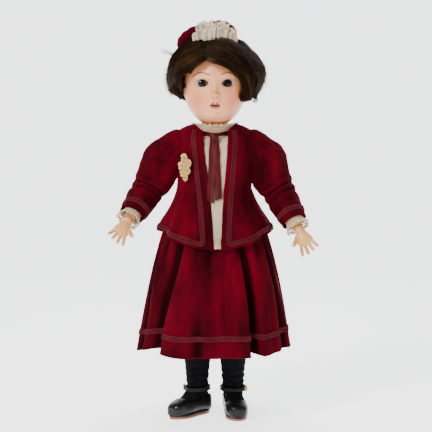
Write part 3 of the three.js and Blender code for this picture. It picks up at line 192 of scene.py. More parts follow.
def give_uv(piece, uv):
    """uv holds one pair for each point; face corners take their point's pair."""
    layer = piece.data.uv_layers.new(name="UVMap")
    corners = np.empty(len(piece.data.loops), np.int32)
    piece.data.loops.foreach_get("vertex_index", corners)
    layer.data.foreach_set("uv", np.asarray(uv, float)[corners].ravel())


def give_mask(piece, name, values):
    attribute = piece.data.attributes.new(name, "FLOAT", "POINT")
    attribute.data.foreach_set("value", np.asarray(values, float).ravel())


def grid_faces(rows, columns, wraps, holes=None):
    """Quads of a grid of points whose first direction is down and second across."""
    across = columns if wraps else columns - 1
    r, c = np.meshgrid(np.arange(rows - 1), np.arange(across), indexing="ij")
    beside = (c + 1) % columns
    quads = np.stack([r * columns + c, (r + 1) * columns + c, (r + 1) * columns + beside, r * columns + beside], -1)
    quads = quads.reshape(-1, 4)
    if holes is not None:
        quads = quads[~holes[: rows - 1, :across].ravel()]
    return quads


def surface_normals(grid, wraps):
    du = np.roll(grid, -1, axis=1) - np.roll(grid, 1, axis=1) if wraps else np.gradient(grid, axis=1)
    dv = np.gradient(grid, axis=0)
    normal = np.cross(dv, du)
    return normal / np.maximum(np.linalg.norm(normal, axis=-1, keepdims=True), 1e-9)


def cloth(name, surface, across, down, thickness, material, wraps=False, holes=None, size=(1, 1)):
    """A sheet of cloth with both faces and closed edges. surface(u, v) runs anticlockwise, then down."""
    count = across if wraps else across + 1
    u, v = np.meshgrid(np.arange(count) / across, np.linspace(0, 1, down + 1))
    outer = surface(u, v)
    normal = surface_normals(outer, wraps)
    inner = outer - thickness * normal
    gone = None if holes is None else holes(u + 0.5 / across, v + 0.5 / down)
    quads = grid_faces(down + 1, count, wraps, gone)
    total = outer.shape[0] * outer.shape[1]
    edges = np.concatenate([quads[:, [i, (i + 1) % 4]] for i in range(4)])
    sides = dict.fromkeys(map(tuple, edges.tolist()))
    rim = [(a, b) for a, b in sides if (b, a) not in sides]
    faces = quads.tolist() + (quads[:, ::-1] + total).tolist()
    faces += [[b, a, a + total, b + total] for a, b in rim]
    piece = new_piece(name, np.concatenate([outer.reshape(-1, 3), inner.reshape(-1, 3)]), faces, material)
    uv = np.stack([u * size[0], v * size[1]], -1).reshape(-1, 2)
    give_uv(piece, np.concatenate([uv, uv]))
    if rim:
        crisp_edges(piece, {(min(a, b) + lift, max(a, b) + lift) for a, b in rim for lift in (0, total)})
    drop_loose(piece)
    return piece


def crisp_edges(piece, pairs):
    """Marks the edges between pairs of points as sharp, so that a cut edge doesn't round the shading."""
    ends = np.empty(2 * len(piece.data.edges), np.int32)
    piece.data.edges.foreach_get("vertices", ends)
    sharp = [(min(a, b), max(a, b)) in pairs for a, b in ends.reshape(-1, 2).tolist()]
    piece.data.edges.foreach_set("use_edge_sharp", sharp)


def drop_loose(piece):
    """Takes away the points that no face uses."""
    work = bmesh.new()
    work.from_mesh(piece.data)
    bmesh.ops.delete(work, geom=[v for v in work.verts if not v.link_faces], context="VERTS")
    work.to_mesh(piece.data)
    work.free()


def stack(name, rings, material, closed=(True, True), size=(1, 1)):
    """A skin through rings of points from top to bottom, with its ends closed where asked."""
    rings = np.asarray(rings, float)
    rows, count = rings.shape[:2]
    faces = grid_faces(rows, count, True).tolist()
    points = rings.reshape(-1, 3)
    for row, shut in zip((0, rows - 1), closed):
        if shut:
            middle = rings[row].mean(axis=0)
            points = np.vstack([points, middle])
            hub = len(points) - 1
            for i in range(count):
                a, b = row * count + i, row * count + (i + 1) % count
                faces.append([hub, a, b] if row == 0 else [hub, b, a])
    piece = new_piece(name, points, faces, material)
    v, u = np.meshgrid(np.linspace(0, size[1], rows), np.linspace(0, size[0], count), indexing="ij")
    uv = np.stack([u, v], -1).reshape(-1, 2)
    give_uv(piece, np.vstack([uv, np.zeros((len(points) - len(uv), 2))]))
    return piece


def make_outward(piece):
    """Turns a closed skin the right way out."""
    work = bmesh.new()
    work.from_mesh(piece.data)
    bmesh.ops.recalc_face_normals(work, faces=work.faces)
    if work.calc_volume(signed=True) < 0:
        bmesh.ops.reverse_faces(work, faces=work.faces)
    work.to_mesh(piece.data)
    work.free()
    return piece


def joined(name, pieces):
    bpy.ops.object.select_all(action="DESELECT")
    for piece in pieces:
        piece.select_set(True)
    bpy.context.view_layer.objects.active = pieces[0]
    if len(pieces) > 1:
        bpy.ops.object.join()
    result = bpy.context.view_layer.objects.active
    result.name = name
    result.data.name = name
    return result


def settled(piece):
    """Turns a piece with live modifiers into a plain mesh."""
    bpy.context.view_layer.update()
    ready = piece.evaluated_get(bpy.context.evaluated_depsgraph_get())
    mesh = bpy.data.meshes.new_from_object(ready)
    piece.modifiers.clear()
    piece.data = mesh
    return piece


# Moving pieces from a joint's frame to the doll's
def turn(axis, degrees):
    a = math.radians(degrees)
    c, s = math.cos(a), math.sin(a)
    x, y, z = axis
    return np.array([
        [c + x * x * (1 - c), x * y * (1 - c) - z * s, x * z * (1 - c) + y * s],
        [y * x * (1 - c) + z * s, c + y * y * (1 - c), y * z * (1 - c) - x * s],
        [z * x * (1 - c) - y * s, z * y * (1 - c) + x * s, c + z * z * (1 - c)],
    ])


def shoulder_frame(side):
    facts = SIDES[side]
    return turn((0, 1, 0), -facts["side"] * facts["spread"]), np.array([facts["side"] * SHOULDER_X, 0, SHOULDER_Z])


def elbow_frame(side):
    rotation, at = shoulder_frame(side)
    return rotation @ turn((1, 0, 0), -SIDES[side]["bend"]), at + rotation @ np.array([0, 0, -UPPER_ARM])


def wrist_frame(side):
    rotation, at = elbow_frame(side)
    return rotation @ turn((1, 0, 0), 8), at + rotation @ np.array([0, 0, -FOREARM])


def knee_frame(side):
    facts = SIDES[side]
    rotation = turn((0, 0, 1), facts["side"] * facts["toe_out"])
    return rotation, np.array([facts["side"] * HIP_X, 0, KNEE_Z])


def placed(points, place):
    rotation, at = place
    return np.asarray(points) @ rotation.T + at


# Finishes
def tone(red, green, blue):
    """A colour as the eye names it, from 0 to 255, as the light it returns."""
    return tuple(((c / 255 + 0.055) / 1.055) ** 2.4 if c > 10 else c / 255 / 12.92 for c in (red, green, blue)) + (1,)


def add_node(tree, kind, inputs=None, **settings):
    """A node with its settings made and its inputs linked or set."""
    made = tree.nodes.new(kind)
    for key, value in settings.items():
        setattr(made, key, value)
    for key, value in (inputs or {}).items():
        if isinstance(value, bpy.types.NodeSocket):
            tree.links.new(value, made.inputs[key])
        else:
            made.inputs[key].default_value = value
    return made


def arithmetic(tree, operation, first, second=0.0, third=0.0):
    return add_node(tree, "ShaderNodeMath", {0: first, 1: second, 2: third}, operation=operation).outputs[0]


def blended(tree, factor, first, second, mode="MIX"):
    inputs = {0: factor, 6: first, 7: second}
    return add_node(tree, "ShaderNodeMix", inputs, data_type="RGBA", blend_type=mode).outputs[2]


def clouds(tree, place, scale, detail=2.0):
    return add_node(tree, "ShaderNodeTexNoise", {"Vector": place, "Scale": scale, "Detail": detail}).outputs[0]


def mask_of(tree, name):
    """How strongly a mask on the mesh holds here."""
    return add_node(tree, "ShaderNodeAttribute", attribute_name=name).outputs["Fac"]


def graded(tree, value, stops):
    """A colour ramp over a value; stops are places and colours."""
    made = add_node(tree, "ShaderNodeValToRGB", {0: value})
    ramp = made.color_ramp
    while len(ramp.elements) < len(stops):
        ramp.elements.new(0.5)
    for element, (place, colour) in zip(ramp.elements, stops):
        element.position = place
        element.color = colour if hasattr(colour, "__len__") else (colour, colour, colour, 1)
    return made.outputs[0]


def new_finish(name, **sockets):
    """A material with its shader's plain sockets set; returns the material, its tree and the shader."""
    finish = bpy.data.materials.new(name)
    finish.use_nodes = True
    tree = finish.node_tree
    shader = tree.nodes["Principled BSDF"]
    for key, value in sockets.items():
        shader.inputs[key.replace("_", " ")].default_value = value
    return finish, tree, shader


def object_place(tree):
    return tree.nodes.new("ShaderNodeTexCoord").outputs["Object"]


def cloth_place(tree):
    return add_node(tree, "ShaderNodeUVMap", uv_map="UVMap").outputs[0]


def bumped(tree, shader, height, strength, distance):
    made = add_node(tree, "ShaderNodeBump", {"Height": height, "Strength": strength, "Distance": distance})
    tree.links.new(made.outputs[0], shader.inputs["Normal"])


def coloured(tree, shader, colour):
    tree.links.new(colour, shader.inputs["Base Color"])


def shared_effect(name, inputs, outputs, build):
    """A shader node group with named inputs and outputs; build(tree, inputs) returns the outputs' values."""
    group = bpy.data.node_groups.new(name, "ShaderNodeTree")
    for label, kind, default in inputs:
        socket = group.interface.new_socket(label, in_out="INPUT", socket_type=kind)
        if default is not None:
            socket.default_value = default
    for label, kind in outputs:
        group.interface.new_socket(label, in_out="OUTPUT", socket_type=kind)
    source = group.nodes.new("NodeGroupInput")
    sink = group.nodes.new("NodeGroupOutput")
    for label, value in build(group, source.outputs).items():
        group.links.new(value, sink.inputs[label])
    return group


def use_effect(tree, group, inputs):
    return add_node(tree, "ShaderNodeGroup", inputs, node_tree=group).outputs


VALUE, COLOUR, VECTOR = "NodeSocketFloat", "NodeSocketColor", "NodeSocketVector"


def build_mottle(tree, given):
    spread = add_node(tree, "ShaderNodeMapRange", {
        "Value": clouds(tree, given["Place"], given["Scale"], 5.0), "From Min": 0.34, "From Max": 0.68,
        "To Min": 0.0, "To Max": given["Amount"]}).outputs[0]
    return {"Colour": blended(tree, spread, given["Main"], given["Stain"]), "Mask": spread}


mottle = shared_effect(
    "Uneven colour",
    [("Place", VECTOR, None), ("Scale", VALUE, 40.0), ("Amount", VALUE, 0.5),
     ("Main", COLOUR, (0.5, 0.5, 0.5, 1)), ("Stain", COLOUR, (0.3, 0.3, 0.3, 1))],
    [("Colour", COLOUR), ("Mask", VALUE)], build_mottle)


def stained(tree, place, scale, amount, main, stain):
    """A main colour with clouds of a stain in it."""
    return use_effect(tree, mottle, {
        "Place": place, "Scale": scale, "Amount": amount, "Main": main, "Stain": stain})["Colour"]


def build_weave(tree, given):
    inputs = {0: given["Place"], "Scale": given["Threads"]}
    scaled = add_node(tree, "ShaderNodeVectorMath", inputs, operation="SCALE").outputs[0]
    parts = add_node(tree, "ShaderNodeSeparateXYZ", {0: scaled}).outputs
    over, under = (arithmetic(tree, "SINE", arithmetic(tree, "MULTIPLY", parts[i], TURN)) for i in (0, 1))
    crossing = arithmetic(tree, "MULTIPLY", over, under)
    fuzz = clouds(tree, scaled, 1.7, 3.0)
    return {"Height": arithmetic(tree, "MULTIPLY_ADD", fuzz, given["Fuzz"], crossing)}


weave = shared_effect(
    "Woven threads", [("Place", VECTOR, None), ("Threads", VALUE, 900.0), ("Fuzz", VALUE, 0.6)],
    [("Height", VALUE)], build_weave)


def build_nap(tree, given):
    """Pile that leans in patches: a fine height and a mask of the crushed patches, which the velvet paints lighter,
    partly the pile's tone and partly painted sheen.
    """
    fine = clouds(tree, given["Place"], given["Pile"])
    stretched = add_node(tree, "ShaderNodeMapping", {"Vector": given["Place"], "Scale": (1.0, 1.0, 0.3)})
    patch = add_node(tree, "ShaderNodeTexNoise", {
        "Vector": stretched.outputs[0], "Scale": given["Patch"], "Detail": 4.0, "Roughness": 0.55})
    leaning = add_node(tree, "ShaderNodeMapRange", {"Value": patch.outputs[0], "From Min": 0.36, "From Max": 0.66})
    return {"Height": fine, "Brushed": leaning.outputs[0]}


nap = shared_effect(
    "Brushed pile", [("Place", VECTOR, None), ("Pile", VALUE, 2200.0), ("Patch", VALUE, 20.0)],
    [("Height", VALUE), ("Brushed", VALUE)], build_nap)


def make_bisque():
    finish, tree, shader = new_finish("tinted bisque", Roughness=0.4, Coat_Weight=0.12, Coat_Roughness=0.3,
                                      Subsurface_Weight=0.12, Subsurface_Scale=0.004)
    shader.inputs["Subsurface Radius"].default_value = (1.0, 0.45, 0.3)
    place = object_place(tree)
    skin = stained(tree, place, 55.0, 0.35, tone(214, 144, 98), tone(204, 128, 84))
    for mask, colour in (("blush", tone(202, 88, 46)), ("lid", tone(186, 138, 118)), ("lip", tone(148, 34, 12)),
                         ("dot", tone(120, 34, 22))):
        skin = blended(tree, mask_of(tree, mask), skin, colour)
    grit = clouds(tree, place, 900.0, 3.0)
    coloured(tree, shader, skin)
    tree.links.new(graded(tree, grit, [(0.3, 0.36), (0.7, 0.48)]), shader.inputs["Roughness"])
    bumped(tree, shader, grit, 0.12, 0.0004)
    return finish


LID_LINE = 29.0  # degrees the eyes have to turn before the painted lid's edge reaches the front


def make_eye_glass():
    """Blown glass: the pupil is where v is 0 and the back of the ball where v is 1; a painted lid covers its top."""
    finish, tree, shader = new_finish("brown glass eye", Roughness=0.25, Specular_IOR_Level=0.1, Coat_Weight=0.2,
                                      Coat_Roughness=0.03)
    parts = add_node(tree, "ShaderNodeSeparateXYZ", {0: cloth_place(tree)}).outputs
    across = add_node(tree, "ShaderNodeCombineXYZ", {0: arithmetic(tree, "MULTIPLY", parts[0], 34.0), 1: parts[1]})
    rays = clouds(tree, across.outputs[0], 1.6, 4.0)
    wobble = arithmetic(tree, "MULTIPLY_ADD", rays, 0.012, parts[1])
    rings = graded(tree, wobble, [
        (0.0, tone(3, 2, 2)), (0.062, tone(4, 2, 2)), (0.072, tone(20, 8, 4)), (0.118, tone(38, 18, 9)),
        (0.146, tone(18, 9, 6)), (0.16, tone(80, 78, 82)), (0.18, tone(150, 146, 146)), (0.26, tone(190, 186, 182))])
    fleck = graded(tree, rays, [(0.35, (0.62, 0.62, 0.62, 1)), (0.7, (1.35, 1.3, 1.25, 1))])
    painted = blended(tree, 1.0, rings, fleck, "MULTIPLY")
    tilt = math.radians(LID_LINE)
    over = add_node(tree, "ShaderNodeVectorMath", {0: object_place(tree), 1: (0, math.sin(tilt), math.cos(tilt))},
                    operation="DOT_PRODUCT").outputs["Value"]
    above = arithmetic(tree, "SUBTRACT", over, (EYE_Y * math.sin(tilt) + EYE_Z * math.cos(tilt)) * MM)
    lid = graded(tree, arithmetic(tree, "MULTIPLY", above, 500.0), [
        (0.0, tone(34, 18, 12)), (0.14, tone(34, 18, 12)), (0.24, tone(198, 128, 88)), (1.0, tone(206, 138, 98))])
    covered = graded(tree, arithmetic(tree, "MULTIPLY", above, 4000.0), [(0.0, 0), (1.0, 1)])
    coloured(tree, shader, blended(tree, covered, painted, lid))
    return finish


def make_paint(name, colour):
    """A thin fired line on the bisque, a little uneven in its strength."""
    finish, tree, shader = new_finish(name, Roughness=0.45)
    thin = tuple(min(1, c * 1.9 + 0.02) for c in colour[:3]) + (1,)
    coloured(tree, shader, stained(tree, object_place(tree), 420.0, 0.6, colour, thin))
    return finish


def make_hair():
    finish, tree, shader = new_finish("dark brown hair", Roughness=0.5, Specular_IOR_Level=0.2)
    shader.inputs["Specular Tint"].default_value = tone(255, 196, 140)
    colour = graded(tree, mask_of(tree, "shade"), [
        (0.0, tone(2, 1, 1)), (0.4, tone(10, 6, 4)), (0.72, tone(36, 23, 12)), (1.0, tone(92, 64, 38))])
    coloured(tree, shader, stained(tree, object_place(tree), 60.0, 0.5, colour, tone(26, 14, 9)))
    fine = clouds(tree, object_place(tree), 1500.0)
    tree.links.new(graded(tree, fine, [(0.3, 0.34), (0.7, 0.52)]), shader.inputs["Roughness"])
    return finish


def make_velvet(name, main, brushed_sheen, patch):
    finish, tree, shader = new_finish(name, Roughness=0.9, Sheen_Weight=0.42, Sheen_Roughness=0.22,
                                      Specular_IOR_Level=0.03)
    shader.inputs["Sheen Tint"].default_value = tone(214, 18, 54)
    pile = use_effect(tree, nap, {"Place": object_place(tree), "Pile": 1900.0, "Patch": patch})
    # Painted shade: where the fold mask holds, the colour falls towards a fifth of the main colour, darkest deep in
    # the folds.
    fold = mask_of(tree, "painted_fold_shade_mask")
    # Crushed patches of pile are painted lighter: partly the pile's own tone, partly painted sheen.
    colour = blended(tree, pile["Brushed"], main, brushed_sheen)
    deep = tuple(c * 0.2 for c in main[:3]) + (1,)
    coloured(tree, shader, blended(tree, fold, colour, deep))
    bumped(tree, shader, pile["Height"], 0.55, 0.0006)
    return finish


def make_cotton(name, main, stain, threads, strength, roughness=0.85):
    finish, tree, shader = new_finish(name, Roughness=roughness, Sheen_Weight=0.25, Sheen_Roughness=0.5)
    coloured(tree, shader, stained(tree, object_place(tree), 45.0, 0.55, main, stain))
    woven = use_effect(tree, weave, {"Place": cloth_place(tree), "Threads": threads, "Fuzz": 0.8})
    bumped(tree, shader, woven["Height"], strength, 0.0003)
    return finish


def make_ribbed(name, main, stain, ribs, roughness, strength=0.5, axis=1, **sockets):
    """Cloth or cord with ribs that run one way over its map."""
    finish, tree, shader = new_finish(name, Roughness=roughness, **sockets)
    parts = add_node(tree, "ShaderNodeSeparateXYZ", {0: cloth_place(tree)}).outputs
    rib = arithmetic(tree, "SINE", arithmetic(tree, "MULTIPLY", parts[axis], ribs * TURN))
    height = arithmetic(tree, "MULTIPLY_ADD", rib, 0.5, 0.5)
    uneven = stained(tree, object_place(tree), 70.0, 0.6, main, stain)
    # The grooves between the ribs are painted darker, down to seven tenths of the colour: painted shade.
    shade = graded(tree, height, [(0.0, 0.7), (0.6, 1)])
    coloured(tree, shader, blended(tree, 1.0, uneven, shade, "MULTIPLY"))
    bumped(tree, shader, height, strength, 0.0004)
    return finish


def make_worn(name, main, stain, scale, roughness, metallic, bump, grain=500.0, **sockets):
    """A hard surface with uneven colour and a fine grain."""
    finish, tree, shader = new_finish(name, Metallic=metallic, Roughness=roughness, **sockets)
    place = object_place(tree)
    coloured(tree, shader, stained(tree, place, scale, 0.7, main, stain))
    fine = clouds(tree, place, grain, 4.0)
    rough = graded(tree, fine, [(0.3, roughness * 0.75), (0.72, min(1.0, roughness * 1.35))])
    tree.links.new(rough, shader.inputs["Roughness"])
    bumped(tree, shader, fine, bump, 0.0003)
    return finish


BISQUE = make_bisque()
EYE_GLASS = make_eye_glass()
# Dark red for the plate behind the teeth: partly the mouth's paint, partly painted shade of the hollow head.
MOUTH_PAINT_AND_SHADE = make_paint("dark mouth paint and shade", tone(62, 8, 6))
BROW_PAINT = make_paint("brown brow paint", tone(88, 44, 26))
LASH_PAINT = make_paint("black lash paint", tone(34, 20, 16))
HAIR = make_hair()
VELVET = make_velvet("crimson velvet", tone(42, 1, 7), tone(84, 3, 18), 30.0)
HAT_VELVET = make_velvet("burgundy hat velvet", tone(46, 0, 10), tone(72, 3, 20), 60.0)
BRAID = make_ribbed("dusty rose braid", tone(66, 8, 18), tone(38, 2, 9), 900.0, 0.8, 0.8, Specular_IOR_Level=0.12)
BRAID_CORD = make_ribbed("pale rose braid cord", tone(100, 26, 36), tone(66, 10, 20), 900.0, 0.8, 0.8,
                         Specular_IOR_Level=0.12)
LACE_THREAD = make_cotton("cream lace", tone(204, 180, 142), tone(158, 130, 92), 1400.0, 0.5)
PALE_LACE = make_cotton("pale hat lace", tone(222, 204, 174), tone(184, 160, 126), 1400.0, 0.5)
BLOUSE = make_cotton("cream lawn", tone(188, 168, 136), tone(130, 112, 86), 1600.0, 0.3)
LINEN = make_cotton("white petticoat cotton", tone(232, 226, 214), tone(216, 206, 190), 1300.0, 0.3)
SATIN = make_ribbed("maroon satin", tone(74, 2, 11), tone(38, 0, 5), 1100.0, 0.5, 0.25,
                    Specular_IOR_Level=0.14)
KNIT = make_ribbed("black stocking knit", tone(7, 7, 9), tone(13, 12, 15), 520.0, 0.85, 0.6, axis=0,
                   Specular_IOR_Level=0.08)
COMPOSITION = make_worn("painted composition", tone(208, 154, 92), tone(180, 122, 64), 60.0, 0.36, 0.0, 0.1,
                        Coat_Weight=0.25, Coat_Roughness=0.25)
LEATHER = make_worn("black patent leather", tone(5, 4, 5), tone(12, 10, 10), 90.0, 0.36, 0.0, 0.22, 900.0,
                    Specular_IOR_Level=0.22, Coat_Weight=0.12, Coat_Roughness=0.1)
STRAP = make_worn("black strap leather", tone(4, 4, 5), tone(9, 8, 8), 90.0, 0.62, 0.0, 0.2, 900.0,
                  Specular_IOR_Level=0.2)
NAIL = make_worn("pale nail paint", tone(228, 180, 136), tone(214, 160, 112), 90.0, 0.3, 0.0, 0.1)
THREAD_BROWN = make_cotton("waxed brown thread", tone(92, 62, 40), tone(70, 46, 30), 900.0, 0.3)
THREAD_BLACK = make_cotton("black thread", tone(30, 28, 30), tone(20, 18, 20), 900.0, 0.3)
SOLE = make_worn("brown sole leather", tone(136, 82, 48), tone(96, 54, 30), 70.0, 0.5, 0.0, 0.3)
BRASS = make_worn("stamped brass", tone(190, 156, 92), tone(150, 116, 62), 160.0, 0.3, 1.0, 0.1)
STEEL = make_worn("bent steel wire", tone(150, 146, 138), tone(112, 104, 94), 120.0, 0.35, 1.0, 0.1)
LEAD = make_worn("cast lead", tone(116, 118, 122), tone(88, 88, 92), 120.0, 0.6, 0.8, 0.4)
WOOD = make_worn("sanded beech", tone(196, 150, 98), tone(160, 112, 66), 90.0, 0.6, 0.0, 0.3)
CARD = make_worn("pressed card", tone(170, 140, 100), tone(140, 110, 74), 80.0, 0.88, 0.0, 0.6)
ENAMEL = make_worn("glazed teeth", tone(236, 216, 190), tone(210, 184, 156), 200.0, 0.2, 0.0, 0.05)
ELASTIC = make_ribbed("covered elastic", tone(206, 196, 172), tone(180, 166, 140), 700.0, 0.85, 0.6)
PETAL = make_cotton("cream petals", tone(204, 164, 92), tone(140, 96, 42), 900.0, 0.4, 0.7)
GILT = make_worn("gold stems", tone(196, 156, 74), tone(150, 112, 48), 200.0, 0.38, 0.6, 0.3)


# Threads, hairs, cords and stitches: one tree that makes a tube of every path
def build_thread_tree():
    tree = bpy.data.node_groups.new("Thread along its path", "GeometryNodeTree")
    face = tree.interface
    face.new_socket("Paths", in_out="INPUT", socket_type="NodeSocketGeometry")
    face.new_socket("Radius", in_out="INPUT", socket_type="NodeSocketFloat").default_value = 0.0005
    face.new_socket("Sides", in_out="INPUT", socket_type="NodeSocketInt").default_value = 5
    face.new_socket("Finish", in_out="INPUT", socket_type="NodeSocketMaterial")
    face.new_socket("Threads", in_out="OUTPUT", socket_type="NodeSocketGeometry")
    given = tree.nodes.new("NodeGroupInput").outputs
    lines = add_node(tree, "GeometryNodeMeshToCurve", {"Mesh": given["Paths"]})
    width = add_node(tree, "GeometryNodeInputNamedAttribute", {"Name": "width"}, data_type="FLOAT")
    sized = add_node(tree, "GeometryNodeSetCurveRadius", {"Curve": lines.outputs[0], "Radius": width.outputs[0]})
    run = tree.nodes.new("GeometryNodeSplineParameter")
    kept = tree.nodes.new("GeometryNodeCaptureAttribute")
    kept.capture_items.new("FLOAT", "Length")
    tree.links.new(sized.outputs[0], kept.inputs["Geometry"])
    tree.links.new(run.outputs["Length"], kept.inputs["Length"])
    section = add_node(tree, "GeometryNodeCurvePrimitiveCircle", {
        "Resolution": given["Sides"], "Radius": given["Radius"]})
    tubes = add_node(tree, "GeometryNodeCurveToMesh", {
        "Curve": kept.outputs["Geometry"], "Profile Curve": section.outputs[0], "Fill Caps": True})
    pair = add_node(tree, "ShaderNodeCombineXYZ", {1: kept.outputs["Length"]})
    mapped = add_node(tree, "GeometryNodeStoreNamedAttribute", {
        "Geometry": tubes.outputs[0], "Name": "UVMap", "Value": pair.outputs[0]}, data_type="FLOAT2", domain="CORNER")
    smooth = add_node(tree, "GeometryNodeSetShadeSmooth", {0: mapped.outputs[0]})
    whole = add_node(tree, "GeometryNodeRealizeInstances", {0: smooth.outputs[0]})
    dressed = add_node(tree, "GeometryNodeSetMaterial", {"Geometry": whole.outputs[0], "Material": given["Finish"]})
    sink = tree.nodes.new("NodeGroupOutput")
    tree.links.new(dressed.outputs[0], sink.inputs[0])
    return tree


THREAD_TREE = build_thread_tree()


def run_tree(piece, tree, values):
    """Bakes a Geometry Nodes tree on a piece with its inputs set by their names."""
    step = piece.modifiers.new(tree.name, "NODES")
    step.node_group = tree
    sockets = {item.name: item.identifier for item in tree.interface.items_tree if item.in_out == "INPUT"}
    for label, value in values.items():
        step[sockets[label]] = value
    return settled(piece)


def threads(name, paths, radius, finish, sides=5, widths=None, shades=None, looped=False):
    """Tubes along paths, each a run of points in millimetres; widths taper them and shades tint them."""
    points, edges, width, shade = [], [], [], []
    for index, path in enumerate(paths):
        start = len(points)
        points.extend(np.asarray(path).tolist())
        edges.extend((start + i, start + i + 1) for i in range(len(path) - 1))
        if looped:
            edges.append((start + len(path) - 1, start))
        width.extend([1.0] * len(path) if widths is None else widths)
        shade.extend([0.5 if shades is None else float(shades[index])] * len(path))
    mesh = bpy.data.meshes.new(name)
    mesh.from_pydata((np.array(points) * MM).tolist(), edges, [])
    piece = shown(name, mesh)
    give_mask(piece, "width", width)
    give_mask(piece, "shade", shade)
    return run_tree(piece, THREAD_TREE, {"Radius": radius * MM, "Sides": sides, "Finish": finish})


# Head
NECK_DOME, NECK_HOLE = 21, 7.5
head_shape = through([
    [NECK_Z - 1, 18.5, 18.5, 18.5], [NECK_Z + 2, 19, 24, 18.5], [NECK_Z + 6, 24, 38, 20],
    [NECK_Z + 14, 32, 45, 25], [NECK_Z + 26, 39, 48, 33], [NECK_Z + 40, 43.5, 50, 41],
    [HEAD_CENTRE_Z - 6, HEAD_WIDE / 2, HEAD_DEEP / 2, HEAD_DEEP / 2 - 2],
    [HEAD_CENTRE_Z, HEAD_WIDE / 2, HEAD_DEEP / 2, HEAD_DEEP / 2],
])


def head_sizes(z):
    z = np.asarray(z, float)
    low = head_shape(np.minimum(z, HEAD_CENTRE_Z))
    lift = np.clip((z - HEAD_CENTRE_Z) / (SKULL_TOP_Z - HEAD_CENTRE_Z), 0, 1)
    spread = np.sqrt(1 - lift ** 2)
    high = np.stack([spread * HEAD_WIDE / 2, spread * HEAD_DEEP / 2, spread * HEAD_DEEP / 2])
    return np.where(z <= HEAD_CENTRE_Z, low, high)


def face_relief(x, z):
    """How far the modelled face stands out from the plain form of the head."""
    across = np.abs(x)
    form = 3.4 * bell(x, 0, 4.2) * bell(z, NECK_Z + 50, 9)
    form += 8.8 * bell(x, 0, 4.7) * bell(z, NECK_Z + 41, 4.8)
    form += -4.6 * bell(across, EYE_X, 10.5) * bell(z, EYE_Z, 8)
    form += 2.6 * bell(across, 25, 12) * bell(z, NECK_Z + 32, 12)
    form += 2.6 * bell(across, 3.2, 4.6) * bell(z, MOUTH_Z + 3, 3.2)
    form += 3 * bell(x, 0, 5.4) * bell(z, MOUTH_Z - 3.6, 3.2)
    form += -1.4 * bell(x, 0, 9) * bell(z, MOUTH_Z - 9, 3.4)
    form += 3.6 * bell(x, 0, 9) * bell(z, NECK_Z + 10, 7)
    form += 1.2 * bell(across, 18, 12) * bell(z, NECK_Z + 70, 6)
    # Finer modelling: nose wings, the groove under the nose, lid folds and the corners of the mouth
    form += 2.1 * bell(across, 4.6, 1.9) * bell(z, NECK_Z + 39.2, 2.6)
    form += -1.2 * bell(across, 3.2, 1.1) * bell(z, NECK_Z + 36.2, 1.2)
    form += -0.5 * bell(x, 0, 1.2) * bell(z, MOUTH_Z + 7.4, 2.6)
    form += -0.7 * bell(across, 8.4, 1.5) * bell(z, MOUTH_Z + 0.4, 1.8)
    fold = EYE_Z + 7.6 - 0.028 * (across - EYE_X) ** 2
    form += -0.45 * bell(z, fold, 0.8) * bell(across, EYE_X, 9)
    form += 0.55 * bell(z, fold - 1.7, 1.2) * bell(across, EYE_X, 9)
    return form


def head_point(angle, z, wall=None):
    """A place on the head, or on its lining where a wall's thickness is given."""
    outside = wall is None
    half_width, front, back = head_sizes(z) - (0 if outside else wall)
    point = around(angle, z, half_width, front, back)
    point[..., 1] += SKULL_Y * ease(NECK_Z, HEAD_CENTRE_Z, z)
    facing = np.maximum(0, np.cos(angle))
    point[..., 1] -= (1 if outside else 0.5) * face_relief(point[..., 0], z) * np.sqrt(facing)
    if outside:
        beside = np.abs(np.sin(angle))
        ear = 3.6 * bell(z, NECK_Z + 50, 8) * bell(beside, 1, 0.03)
        ear -= 1.5 * bell(z, NECK_Z + 51, 4.2) * bell(beside, 1, 0.004)
        point[..., 0] += np.sign(point[..., 0]) * ear
    return point


def face_at(x, z, lift=0.0):
    """The place on the front of the head over a point of the face, lifted off it a little."""
    x, z = np.broadcast_arrays(np.asarray(x, float), np.asarray(z, float))
    half_width = head_sizes(z)[0]
    point = head_point(np.arcsin(np.clip(x / half_width, -0.98, 0.98)), z)
    point[..., 1] -= lift
    return point


def opening_edge(angle, width, up, down):
    """The edge of an almond opening round its centre: across and up at an angle."""
    c, s = np.cos(angle), np.sin(angle)
    return width / 2 * swollen(c, 0.92), np.where(s > 0, up, down) * s * (1 - 0.1 * c * c)


def opening_depth(dx, dz, width, up, down):
    """How far out of an opening a point is: 1 on its edge, less inside."""
    rise = np.where(dz > 0, up, down)
    turned = np.arctan2(dz / rise, dx / (width / 2))
    edge_x, edge_z = opening_edge(turned, width, up, down)
    return np.hypot(dx, dz) / np.maximum(np.hypot(edge_x, edge_z), 1e-6)


EYE_UP, EYE_DOWN = EYE_HIGH * 0.54, EYE_HIGH * 0.46
MOUTH_UP, MOUTH_DOWN = MOUTH_HIGH * 0.42, MOUTH_HIGH * 0.5
OPENINGS = [(-EYE_X, EYE_Z, EYE_WIDE, EYE_UP, EYE_DOWN), (EYE_X, EYE_Z, EYE_WIDE, EYE_UP, EYE_DOWN),
            (0, MOUTH_Z, MOUTH_WIDE, MOUTH_UP, MOUTH_DOWN)]


def lip_mask(x, z):
    """1 on the painted lips: a bow above, a curve below."""
    across = np.abs(x)
    bow = 1.1 + 3.1 * bell(across, 2.7, 2.5) - 0.9 * bell(across, 0, 0.9)
    top = MOUTH_Z + bow * ease(9.2, 6.0, across)
    low = MOUTH_Z - 4.7 * np.sqrt(np.clip(1 - (across / 7.9) ** 2, 0, 1))
    low = np.where(across > 7.2, MOUTH_Z - 0.4, low)
    inside = np.minimum(np.minimum(top - z, z - low), 9.0 - across)
    return ease(-0.15, 0.55, inside)


